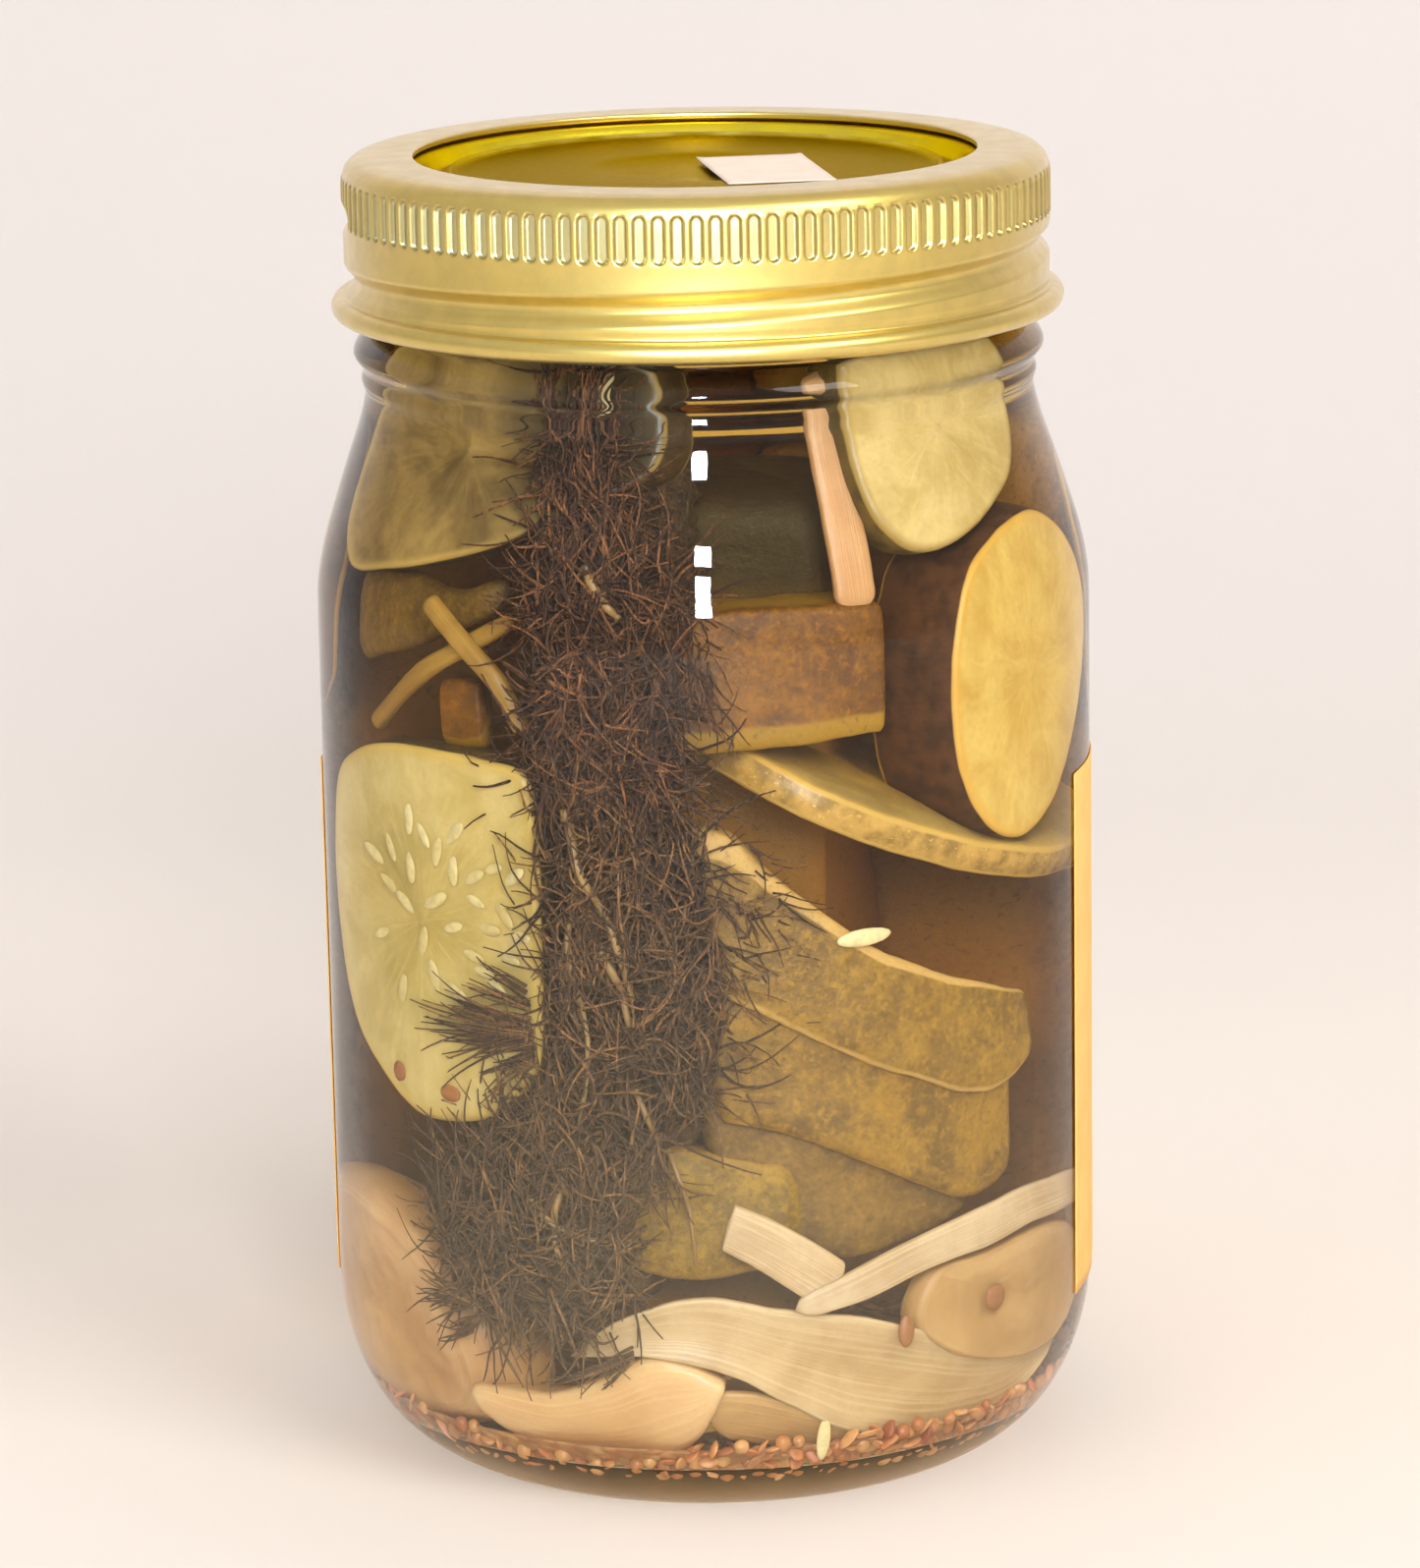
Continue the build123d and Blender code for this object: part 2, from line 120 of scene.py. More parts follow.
# Glass profiles, columns (radius, z): outside from the foot up, inside from the rim down.
outer_profile = join(
    catmull([(0, 1.9), (12, 1.75), (21, 1.0), (23.4, 0.3), (FOOT_R, 0.0)], 40),
    even([(FOOT_R, 0.0), (BODY_R - HEEL_RUN, 0.0)], 5),
    even([heel(part) for part in np.linspace(0, 1, 60)], 60),
    even([(BODY_R, HEEL_TOP), (BODY_R, SHOULDER_Z)], 44),
    catmull([(BODY_R, SHOULDER_Z), (39.2, 90.8), (38.4, 94.9), (37.15, 98.9), (35.8, 102.9),
             (34.4, 107.0), (33.8, 109.8), (34.1, 111.2), (33.9, 112.3), (34.85, 113.9),
             (34.0, 115.6), (NECK_R, NECK_Z)], 110),
    even([(NECK_R, NECK_Z), (NECK_R, NECK_TOP)], 60),
    catmull([(NECK_R, NECK_TOP), (32.85, 131.75), (32.1, RIM_Z)], 10),
    even([(32.1, RIM_Z), (31.1, RIM_Z)], 5),
    catmull([(31.1, RIM_Z), (30.55, 131.9), (30.3, 131.2)], 8))
OUTER_WALL = slice(60, 200)  # rows of the outside that rise steadily past the label

INNER_HEEL_POINTS, INNER_FLOOR_POINTS = 44, 30
inner_profile = join(
    even([(30.3, 131.2), (30.5, 118.0)], 24),
    catmull([(30.5, 118.0), (30.7, 114.0), (31.2, 109.6), (32.5, 105.0), (34.2, 100.2),
             (35.7, 95.5), (36.55, 90.5), (INNER_R, 85.0)], 44),
    even([(INNER_R, 85.0), (INNER_R, 21.0)], 34),
    catmull([(INNER_R, 21.0), (36.2, 15.0), (34.6, 10.2), (31.4, 6.7), (26.5, 4.9)],
            INNER_HEEL_POINTS),
    catmull([(26.5, 4.9), (16, 5.4), (0, 5.8)], INNER_FLOOR_POINTS))


def inner_r(z):
    wall = inner_profile[:-INNER_FLOOR_POINTS][::-1]
    return np.interp(z, wall[:, 1], wall[:, 0])


def floor_z(radius):
    floor = inner_profile[-(INNER_HEEL_POINTS + INNER_FLOOR_POINTS):][::-1]
    return np.interp(radius, floor[:, 0], floor[:, 1])


def wall_point(phi, z, gap):
    """Points a gap inside the glass wall."""
    angle = np.radians(np.asarray(phi, float))
    height = np.asarray(z, float)
    radius = inner_r(height) - gap
    return np.stack([radius * np.sin(angle), -radius * np.cos(angle), height], -1)


def wall_axes(phi):
    """Unit vectors along the wall (to the right, seen from the front) and outward."""
    angle = math.radians(phi)
    return (np.array([math.cos(angle), math.sin(angle), 0]),
            np.array([math.sin(angle), -math.cos(angle), 0]))


def keep_in(points, gap=0.35):
    """Points moved inward and up until they clear the glass."""
    moved = np.array(points, float)
    radius = np.hypot(moved[:, 0], moved[:, 1])
    limit = inner_r(np.clip(moved[:, 2], 5.0, 131)) - gap
    shrink = np.where(radius > limit, limit / np.maximum(radius, 1e-6), 1.0)
    moved[:, :2] *= shrink[:, None]
    radius = np.minimum(radius, limit)
    moved[:, 2] = np.maximum(moved[:, 2], floor_z(np.clip(radius, 0, 36.5)) + gap)
    return moved


def soft_noise(points, scale, seed=0.0):
    """Smooth noise, about -1 to 1, at each point."""
    return np.array([noise.noise(Vector((x * scale + seed, y * scale - seed,
                                         z * scale + 2 * seed))) for x, y, z in points])


def power(values, exponent):
    return np.sign(values) * np.abs(values) ** exponent


def smoothstep(values):
    return values * values * (3 - 2 * values)


def ramp01(values):
    return np.clip(values, 0, 1)


# ---------------------------------------------------------------- meshes
def add_attribute(mesh, key, values):
    values = np.asarray(values, np.float32)
    kind, field = ("FLOAT", "value") if values.ndim == 1 else ("FLOAT_VECTOR", "vector")
    mesh.attributes.new(key, kind, "POINT").data.foreach_set(field, values.ravel())


def new_mesh(name, verts, faces, attributes=None):
    mesh = bpy.data.meshes.new(name)
    mesh.from_pydata([tuple(vert) for vert in np.asarray(verts) * MM], [],
                     [tuple(int(i) for i in face) for face in faces])
    for key, values in (attributes or {}).items():
        add_attribute(mesh, key, values)
    mesh.validate()
    mesh.update()
    mesh.polygons.foreach_set("use_smooth", [True] * len(mesh.polygons))
    thing = bpy.data.objects.new(name, mesh)
    bpy.context.scene.collection.objects.link(thing)
    return thing


def fix_normals(thing):
    work = bmesh.new()
    work.from_mesh(thing.data)
    bmesh.ops.recalc_face_normals(work, faces=work.faces)
    work.to_mesh(thing.data)
    work.free()
    return thing


def mesh_points(thing):
    return np.array([vert.co for vert in thing.data.vertices]) / MM


def piece(thing, node, slot, *materials, body="jar"):
    """Dress an object, attach it to the body it rides on and hide the CAD part it replaces; slot
    is not used.
    """
    for material in materials:
        thing.data.materials.append(material)
    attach(thing, body)
    if node:
        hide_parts(node)


def row_faces(rows, closed=False):
    """Faces between rows of vertex numbers, and each one's row. A row of one is a pole."""
    faces, face_rows = [], []
    for i in range(len(rows) if closed else len(rows) - 1):
        low, high = rows[i], rows[(i + 1) % len(rows)]
        count = max(len(low), len(high))
        for j in range(count):
            j2 = (j + 1) % count
            if len(low) == 1:
                faces.append((low[0], high[j2], high[j]))
            elif len(high) == 1:
                faces.append((low[j], low[j2], high[0]))
            else:
                faces.append((low[j], low[j2], high[j2], high[j]))
            face_rows.append(i)
    return faces, np.array(face_rows)


def number_rows(start, rows, count):
    return [range(start + i * count, start + (i + 1) * count) for i in range(rows)]


def revolve(profile, segments, shape=None, closed=False):
    """A profile turned about Z: vertices, faces and the profile row of each face.

    shape(radii, z, angles, row) may move a ring. Profile points on the axis become poles.
    """
    angles = np.linspace(0, FULL_TURN, segments, endpoint=False)
    verts, rows = [], []
    for k, (radius, z) in enumerate(np.asarray(profile, float)):
        start = len(verts)
        if radius < 1e-6:
            rows.append([start])
            verts.append((0, 0, z))
            continue
        radii, heights = np.full(segments, radius), z
        if shape:
            radii, heights = shape(radii, z, angles, k)
        rows.append(range(start, start + segments))
        verts.extend(zip(radii * np.cos(angles), radii * np.sin(angles),
                         np.broadcast_to(heights, segments)))
    return np.array(verts), *row_faces(rows, closed)


def capped(name, verts, coords, rows, sides, cap_depth):
    """A tube from rows of vertices, closed by a point at the middle of either end."""
    total = rows * sides
    verts = np.vstack([verts, verts[:sides].mean(0), verts[-sides:].mean(0)])
    coords = np.vstack([coords, (0, 0, cap_depth), (1, 0, cap_depth)])
    faces, _ = row_faces([[total], *number_rows(0, rows, sides), [total + 1]])
    return fix_normals(new_mesh(name, keep_in(verts), faces, {"uvw": coords, "loc": verts}))


def end_taper(along, head, tail, least):
    """Elliptic taper over the head and tail shares of a length."""
    size = 1.0
    if along < head:
        size = math.sqrt(max(1 - (1 - along / head) ** 2, 0))
    if along > 1 - tail:
        size = min(size, math.sqrt(max(1 - (1 - (1 - along) / tail) ** 2, 0)))
    return max(size, least)


def loft(name, top, bottom, gap, thick, square, ends=(0.12, 0.12), rows=60, sides=40,
         wobble=0.15, curl=0.0, lead=1.5):
    """A soft closed piece along the wall between two edge curves of (phi, z).

    square is the superellipse power of its section, ends the tapered shares of its length,
    curl how far its edges lift outward, lead how far its widest line lies behind its face.
    Attribute uvw holds (along, across, depth).
    """
    upper = wall_point(*catmull(top, rows).T, gap)
    lower = wall_point(*catmull(bottom, rows).T, gap)
    angles = np.linspace(0, FULL_TURN, sides, endpoint=False)
    widths, depths = power(np.cos(angles), 2 / square), power(np.sin(angles), 2 / square)
    lead = min(lead, thick / 2)
    verts, coords = [], []
    for i in range(rows):
        along = i / (rows - 1)
        size = end_taper(along, *ends, 0.04)
        centre, half = (upper[i] + lower[i]) / 2, (upper[i] - lower[i]) / 2
        outward = centre * (1, 1, 0)
        outward /= np.linalg.norm(outward)
        for across, depth in zip(widths, depths):
            reach = -(1 - depth) * lead if depth > 0 else -lead + depth * (thick - lead)
            push = reach * size - (1 - size) * thick * 0.5 + curl * across ** 2
            verts.append(centre + half * across * size + outward * push)
            coords.append((along, across, depth))
    verts = np.array(verts)
    rings = verts.reshape(rows, sides, 3)
    centres = rings.mean(1, keepdims=True)
    arms = rings - centres
    length = np.linalg.norm(arms, axis=2, keepdims=True)
    swell = soft_noise(verts, 0.16, 1.0) * wobble + soft_noise(verts, 0.5, 8.0) * wobble * 0.35
    swell = swell.reshape(rows, sides, 1) - wobble * 0.6
    verts = (centres + arms * (1 + swell / np.maximum(length, 1.0))).reshape(-1, 3)
    return capped(name, verts, np.array(coords), rows, sides, 0)


def slab(name, outline, thick=6.0, bulge=0.6, dish=0.25, seed=1.0, corner=0.8, wobble=0.12,
         normal=None):
    """A slice: a closed plate whose front face fills a closed outline of (x, y, z).

    Attribute uvw holds (0 at the middle to 1 at the skin, 1 on the skin, turn round it).
    """
    count = 132
    edge = catmull(outline, count, closed=True)
    centre = edge.mean(0)
    if normal is None:
        normal = np.zeros(3)
        for j in range(count):
            normal += np.cross(edge[j] - centre, edge[(j + 1) % count] - centre)
        normal /= np.linalg.norm(normal)
        if normal[0] * centre[0] + normal[1] * centre[1] < 0:
            normal = -normal
    else:
        normal = np.asarray(normal, float) / np.linalg.norm(normal)
    half = np.linalg.norm(edge - centre, axis=1).mean()
    flat = 1 - corner / half

    # rings as (scale, lift, distance from the middle, on the skin)
    rings = [(out, bulge * (1 - out * out) - dish * (1 - min(1.0, out / 0.55) ** 2), out, 0)
             for out in np.linspace(0, flat, 26)[1:]]
    turns = np.linspace(15, 90, 6)
    scales = flat + (1 - flat) * np.sin(np.radians(turns))
    cosines = np.cos(np.radians(turns))
    corners = list(zip(turns, scales, cosines))
    for turn, out, cosine in corners:
        lift = bulge * (1 - flat ** 2) * cosine - corner * (1 - cosine)
        rings.append((out, lift, out, turn / 90))
    for down in np.linspace(0, 1, 8)[1:-1]:
        lift = -corner - (thick - 2 * corner) * down
        rings.append((1.0 + 0.01 * math.sin(math.pi * down), lift, 1.0, 1))
    for turn, out, cosine in reversed(corners):
        rings.append((out, -thick + corner * (1 - cosine), out, turn / 90))
    rings += [(out, -thick, out, 0) for out in np.linspace(flat, 0, 12)[:-1]]

    verts, coords = [centre + normal * bulge], [(0, 0, 0)]
    for scale, lift, out, side in rings:
        for j in range(count):
            verts.append(centre + (edge[j] - centre) * scale + normal * lift)
            coords.append((out, side, j / count))
    rows = [[0], *number_rows(1, len(rings), count), [len(verts)]]
    verts.append(centre - normal * thick)
    coords.append((0, 0, 0))
    faces = [(face[0], *face[:0:-1]) for face in row_faces(rows)[0]]

    verts = np.array(verts)
    swell = (soft_noise(verts, 0.12, seed) * wobble * 2
             + soft_noise(verts, 0.45, seed + 3) * wobble)
    verts = verts + normal[None] * swell[:, None]
    across = edge[0] - centre
    across -= normal * (across @ normal)
    across /= np.linalg.norm(across)
    upward = np.cross(normal, across)
    arms = verts - centre
    local = np.stack([arms @ across, arms @ upward, arms @ normal], 1) / half
    thing = fix_normals(new_mesh(name, keep_in(verts), faces, {"uvw": coords, "loc": local}))
    # the face's centre, normal and two in-plane axes, used for setting seeds in it
    for key, vector in zip("CNUV", (centre, normal, across, upward)):
        thing[key] = list(vector)
    return thing


def wall_slice(name, outline, gap, **shape):
    """A slab whose outline of (phi, z) lies along the wall."""
    return slab(name, wall_point(*np.array(outline, float).T, gap), **shape)


def blobs(name, items, rings=8, segments=12):
    """Egg-shaped solids in one mesh: (centre, half sizes, rotation, roughness, seed)."""
    ball = [(0, 0, -1)]
    for i in range(1, rings):
        rise = -math.pi / 2 + math.pi * i / rings
        for j in range(segments):
            turn = 2 * math.pi * j / segments
            ball.append((math.cos(rise) * math.cos(turn), math.cos(rise) * math.sin(turn),
                         math.sin(rise)))
    ball.append((0, 0, 1))
    ball = np.array(ball)
    verts, faces, random = [], [], []
    for centre, half, rotation, rough, seed in items:
        base = len(verts)
        swell = 1 + rough * soft_noise(ball * 1.3, 1.0, seed)
        sized = ball * swell[:, None] * np.asarray(half)[None]
        verts.extend(sized @ np.asarray(rotation).T + np.asarray(centre))
        random.extend([(seed * 7.31) % 1.0] * len(ball))
        rows = [[base], *number_rows(base + 1, rings - 1, segments), [base + len(ball) - 1]]
        faces.extend(row_faces(rows)[0])
    return new_mesh(name, verts, faces, {"rnd": random})


def unit_rows(vectors):
    return vectors / np.maximum(np.linalg.norm(vectors, axis=1, keepdims=True), 1e-9)


def tubes(name, paths, sides=5):
    """Thin tapered strands in one mesh, each path being (points, radii)."""
    verts, faces, random, base = [], [], [], 0
    turns = FULL_TURN * np.arange(sides) / sides
    for number, (points, radii) in enumerate(paths):
        points, radii = np.asarray(points, float), np.asarray(radii, float)
        count = len(points)
        tangents = unit_rows(np.gradient(points, axis=0))
        side = unit_rows(np.cross(tangents, [0.31, 0.47, 0.83]))
        other = np.cross(tangents, side)
        circle = (np.cos(turns)[None, :, None] * side[:, None]
                  + np.sin(turns)[None, :, None] * other[:, None])
        rings = points[:, None] + radii[:, None, None] * circle
        verts.append(np.vstack([rings.reshape(-1, 3), points[0], points[-1]]))
        total = count * sides
        random.append(np.full(total + 2, (number * 0.6180339) % 1.0))
        rows = [[base + total], *number_rows(base, count, sides), [base + total + 1]]
        faces.extend(row_faces(rows)[0])
        base += total + 2
    return new_mesh(name, np.vstack(verts), faces, {"rnd": np.concatenate(random)})


def sheet(name, grid, thickness):
    """A closed thin sheet from a grid of points and the offset to its other side."""
    rows, columns = grid.shape[:2]
    total = rows * columns
    verts = np.vstack([grid.reshape(-1, 3), (grid + thickness).reshape(-1, 3)])
    faces = []
    for i in range(rows - 1):
        for j in range(columns - 1):
            low, high = i * columns + j, (i + 1) * columns + j
            quad = (low, low + 1, high + 1, high)
            faces.append(quad)
            faces.append(tuple(total + k for k in quad[::-1]))
    border = (list(range(columns))
              + [i * columns + columns - 1 for i in range(1, rows)]
              + [(rows - 1) * columns + j for j in range(columns - 2, -1, -1)]
              + [i * columns for i in range(rows - 2, 0, -1)])
    for start, end in zip(border, border[1:] + border[:1]):
        faces.append((start, total + start, total + end, end))
    return fix_normals(new_mesh(name, verts, faces))


# ---------------------------------------------------------------- material builder
PRINCIPLED = {
    "color": "Base Color", "rough": "Roughness", "metal": "Metallic", "normal": "Normal",
    "spec": "Specular IOR Level", "tint": "Specular Tint",
    "sss": "Subsurface Weight", "sss_radius": "Subsurface Radius",
    "sss_scale": "Subsurface Scale", "coat": "Coat Weight", "coat_rough": "Coat Roughness"}
# The glossy node goes by either name, depending on the Blender build.
GLOSSY = "BsdfGlossy" if hasattr(bpy.types, "ShaderNodeBsdfGlossy") else "BsdfAnisotropic"


def rgba(color):
    return color if isinstance(color, bpy.types.NodeSocket) else (*color, 1.0)


def srgb(*levels):
    """8-bit sRGB levels as a linear colour."""
    return tuple(part / 12.92 if part <= 0.04045 else ((part + 0.055) / 1.055) ** 2.4
                 for part in (level / 255 for level in levels))


def scaled(color, factor, plus=0.0):
    return tuple(min(1, part * factor + plus) for part in color)


class Shader:
    """A material under construction. Texture scales are per millimetre."""

    def __init__(self, name):
        self.material = bpy.data.materials.new(name)
        self.material.use_nodes = True
        self.tree = self.material.node_tree
        self.tree.nodes.clear()
        self.output = self.tree.nodes.new("ShaderNodeOutputMaterial")
        # object coordinates in millimetres
        self.place = self.node("VectorMath", {0: self.node("TexCoord")["Object"], 3: 1000.0},
                               operation="SCALE")[0]

    def node(self, kind, inputs=None, **properties):
        """Add a node and return its outputs. Inputs are linked if sockets, else set."""
        node = self.tree.nodes.new("ShaderNode" + kind)
        for key, value in properties.items():
            setattr(node, key, value)
        for key, value in (inputs or {}).items():
            if isinstance(value, bpy.types.NodeSocket):
                self.tree.links.new(value, node.inputs[key])
            else:
                node.inputs[key].default_value = value
        return node.outputs

    def attribute(self, name, output="Fac"):
        return self.node("Attribute", attribute_name=name)[output]

    def split(self, vector=None):
        return self.node("SeparateXYZ", {0: vector or self.place})

    def uvw(self):
        return self.split(self.attribute("uvw", "Vector"))

    def stretch(self, parts, factors):
        """A vector of separate parts, each times its factor."""
        return self.node("CombineXYZ", {i: self.mul(part, factor) for i, (part, factor)
                                        in enumerate(zip(parts, factors))})[0]

    def noise(self, scale, detail=3.0, rough=0.55, warp=0.0, vector=None):
        return self.node("TexNoise", {"Vector": vector or self.place, "Scale": scale,
                                      "Detail": detail, "Roughness": rough,
                                      "Distortion": warp})["Fac"]

    def math(self, operation, first, second=0.0):
        return self.node("Math", {0: first, 1: second, 2: 0.0}, operation=operation)[0]

    def mul(self, first, second):
        return self.math("MULTIPLY", first, second)

    def add(self, first, second):
        return self.math("ADD", first, second)

    def sub(self, first, second):
        return self.math("SUBTRACT", first, second)

    def sway(self, noise_value, amount):
        """Noise centred on zero."""
        return self.mul(self.sub(noise_value, 0.5), amount)

    def remap(self, value, span, to=(0.0, 1.0), smooth=True):
        return self.node("MapRange", {"Value": value, "From Min": span[0],
                                      "From Max": span[1], "To Min": to[0], "To Max": to[1]},
                         interpolation_type="SMOOTHSTEP" if smooth else "LINEAR")["Result"]

    def mix(self, factor, base, over):
        return self.node("Mix", {0: factor, 6: rgba(base), 7: rgba(over)},
                         data_type="RGBA")[2]

    def tint(self, base, over, value, span, to=(0.0, 1.0), amount=None):
        """Lay a colour over another as a value crosses a span."""
        factor = self.remap(value, span, to)
        if amount is not None:
            factor = self.mul(factor, amount)
        return self.mix(factor, base, over)

    def ramp(self, value, stops):
        outputs = self.node("ValToRGB", {0: value})
        elements = outputs[0].node.color_ramp.elements
        while len(elements) < len(stops):
            elements.new(0.5)
        for element, (position, color) in zip(elements, stops):
            element.position, element.color = position, (*color, 1.0)
        return outputs[0]

    def bump(self, height, strength, depth):
        return self.node("Bump", {"Height": height, "Strength": strength,
                                  "Distance": depth * MM})[0]

    def mix_shader(self, factor, first, second):
        return self.node("MixShader", {0: factor, 1: first, 2: second})[0]

    def transparent(self, color=(1, 1, 1)):
        return self.node("BsdfTransparent", {"Color": rgba(color)})[0]

    def diffuse(self, color):
        return self.node("BsdfDiffuse", {"Color": rgba(color)})[0]

    def light_rays(self):
        """1 for shadow and diffuse rays."""
        path = self.node("LightPath")
        return self.math("MAXIMUM", path["Is Shadow Ray"], path["Is Diffuse Ray"])

    def see_through(self, shader, clear=(1, 1, 1)):
        """Shadow and diffuse rays go straight through; the rest see the shader."""
        return self.mix_shader(self.light_rays(), shader, self.transparent(clear))

    def finish(self, shader, volume=None):
        self.tree.links.new(shader, self.output.inputs["Surface"])
        if volume is not None:
            self.tree.links.new(volume, self.output.inputs["Volume"])
        return self.material

    def principled(self, **inputs):
        return self.finish(self.node("BsdfPrincipled", {PRINCIPLED[key]: value for key, value
                                                        in inputs.items()})[0])


# ---------------------------------------------------------------- glass and brine
GLASS_IOR, BRINE_IOR = 1.5, 1.345


def glass(name, color, ripple, foot=False):
    mat = Shader(name)
    height = mat.add(mat.noise(scale=0.055, detail=2.0),
                     mat.mul(mat.noise(scale=0.25, detail=2.0), 0.12))
    normal = mat.bump(height, strength=1.0, depth=ripple)
    # the room in front is dim, so outside reflections are dimmer than what passes through
    back = mat.node("NewGeometry")["Backfacing"]
    fresnel = mat.node("Fresnel", {"IOR": GLASS_IOR, "Normal": normal})[0]
    bright = mat.math("MAXIMUM", back, mat.remap(fresnel, span=(0.05, 0.22)))
    mirror = mat.mix(bright, (0.42, 0.43, 0.44), (1.0, 1.0, 1.0))
    shader = mat.mix_shader(
        fresnel,
        mat.node("BsdfRefraction", {"Color": rgba(color), "Roughness": 0.0,
                                    "IOR": GLASS_IOR, "Normal": normal})[0],
        mat.node(GLOSSY, {"Color": mirror, "Roughness": 0.0, "Normal": normal})[0])
    if foot:
        # painted light: a warm diffuse colour in the thick foot, brightest at its lowest edge,
        # stands in for the light gathered there
        z = mat.split()[2]
        glow = mat.mul(mat.add(mat.remap(z, span=(1.0, 8.5), to=(0.50, 0.0)),
                               mat.remap(z, span=(0.2, 1.1), to=(0.28, 0.0))),
                       mat.remap(mat.noise(scale=0.12, detail=2.0), span=(0.2, 0.8),
                                 to=(0.8, 1.1)))
        warm = mat.tint(srgb(214, 206, 176), srgb(196, 160, 108), z, span=(0.3, 2.2))
        shader = mat.mix_shader(glow, shader, mat.diffuse(warm))
    return mat.finish(mat.see_through(shader, tuple(0.5 + 0.5 * part for part in color)))


def wet_glass():
    """Inner wall below the brine level."""
    mat = Shader("glass_inner_wet")
    normal = mat.bump(mat.noise(scale=0.05, detail=2.0), strength=1.0, depth=0.3)
    refraction = mat.node("BsdfRefraction", {
        "Color": (0.98, 0.985, 0.975, 1), "Roughness": 0.0, "IOR": GLASS_IOR / BRINE_IOR,
        "Normal": normal})[0]
    return mat.finish(mat.see_through(refraction))


def absorption(mat):
    return mat.node("VolumeAbsorption", {"Color": (0.90, 0.72, 0.12, 1), "Density": 52.0})[0]


def brine_body():
    """Clear sides with a faint veil that thins upward."""
    mat = Shader("brine_body")
    veil = mat.add(mat.remap(mat.split()[2], span=(8.0, 78.0), to=(0.060, 0.0)),
                   mat.mul(mat.noise(scale=0.05, detail=2.0), 0.012))
    seen = mat.sub(1.0, mat.light_rays())
    shader = mat.mix_shader(mat.mul(veil, seen), mat.transparent(),
                            mat.diffuse((0.95, 0.80, 0.60)))
    return mat.finish(shader, absorption(mat))


def brine_surface():
    mat = Shader("brine_surface")
    normal = mat.bump(mat.noise(scale=0.08, detail=2.0), strength=1.0, depth=0.1)
    surface = mat.node("BsdfGlass", {"Color": (1, 1, 1, 1), "Roughness": 0.0,
                                     "IOR": BRINE_IOR, "Normal": normal})[0]
    return mat.finish(mat.see_through(surface), absorption(mat))


def thread_lift(z, angles, middle_z, start, turns, crest):
    """0 to 1 over a helical ridge that passes middle_z at 180 degrees.

    start is in degrees and crest is the half width of the ridge's top.
    """
    degrees = np.degrees(angles)
    best = np.zeros_like(angles)
    for k in range(-1, 4):
        turned = degrees + 360 * k
        ridge_z = middle_z + PITCH * (turned - 180) / 360
        inside = smoothstep(ramp01((turned - start) / 14)
                            * ramp01((start + 360 * turns - turned) / 14))
        rise = ramp01((THREAD_HALF - np.abs(z - ridge_z)) / (THREAD_HALF - crest))
        best = np.maximum(best, smoothstep(rise) * inside)
    return best


def glass_shape(radii, z, angles, row):
    """Raise the thread on the outside of the neck."""
    if row < len(outer_profile) and 116.0 < z < 131.2:
        radii = radii + THREAD_HEIGHT * thread_lift(z, angles, BAND_THREAD_Z + 2.0, start=160,
                                                    turns=1.15, crest=0.45)
    return radii, z


def build_glass():
    profile = join(outer_profile, inner_profile)
    verts, faces, rows = revolve(profile, 256, glass_shape)
    jar = new_mesh("jar_glass", verts, faces)
    # slots: 0 outside, 1 dry inside, 2 wet inside
    inside = rows >= len(outer_profile) - 4
    slots = inside.astype(int)
    slots[inside & (profile[rows, 1] <= FILL_Z + 0.3)] = 2
    jar.data.polygons.foreach_set("material_index", slots)
    fix_normals(jar)
    piece(jar, "glass_jar", "clear_glass",
          glass("glass_outer", (0.955, 0.975, 0.96), ripple=0.16, foot=True),
          glass("glass_inner_dry", (0.97, 0.985, 0.975), ripple=0.25),
          wet_glass())


def build_brine():
    """Fills the hollow a hair inside the glass, with a meniscus at the wall."""
    gap = 0.04
    sides = inner_profile[::-1]
    sides = sides[sides[:, 1] < FILL_Z - 0.2]
    sides = np.stack([np.maximum(sides[:, 0] - gap, 0), sides[:, 1] + gap], 1)
    top_r = inner_r(FILL_Z) - gap
    meniscus = [(top_r, FILL_Z + 0.9), (top_r - 0.25, FILL_Z + 0.45),
                (top_r - 0.8, FILL_Z + 0.12), (top_r - 1.8, FILL_Z),
                (top_r - 6, FILL_Z - 0.02), (14, FILL_Z - 0.03), (0, FILL_Z - 0.03)]
    verts, faces, rows = revolve(join(sides, [(top_r, FILL_Z - 0.1)], meniscus), 192)
    brine = new_mesh("brine_liquid", verts, faces)
    brine.data.polygons.foreach_set("material_index", (rows >= len(sides)).astype(int))
    fix_normals(brine)
    piece(brine, "brine", "brine", brine_body(), brine_surface())


build_glass()
build_brine()


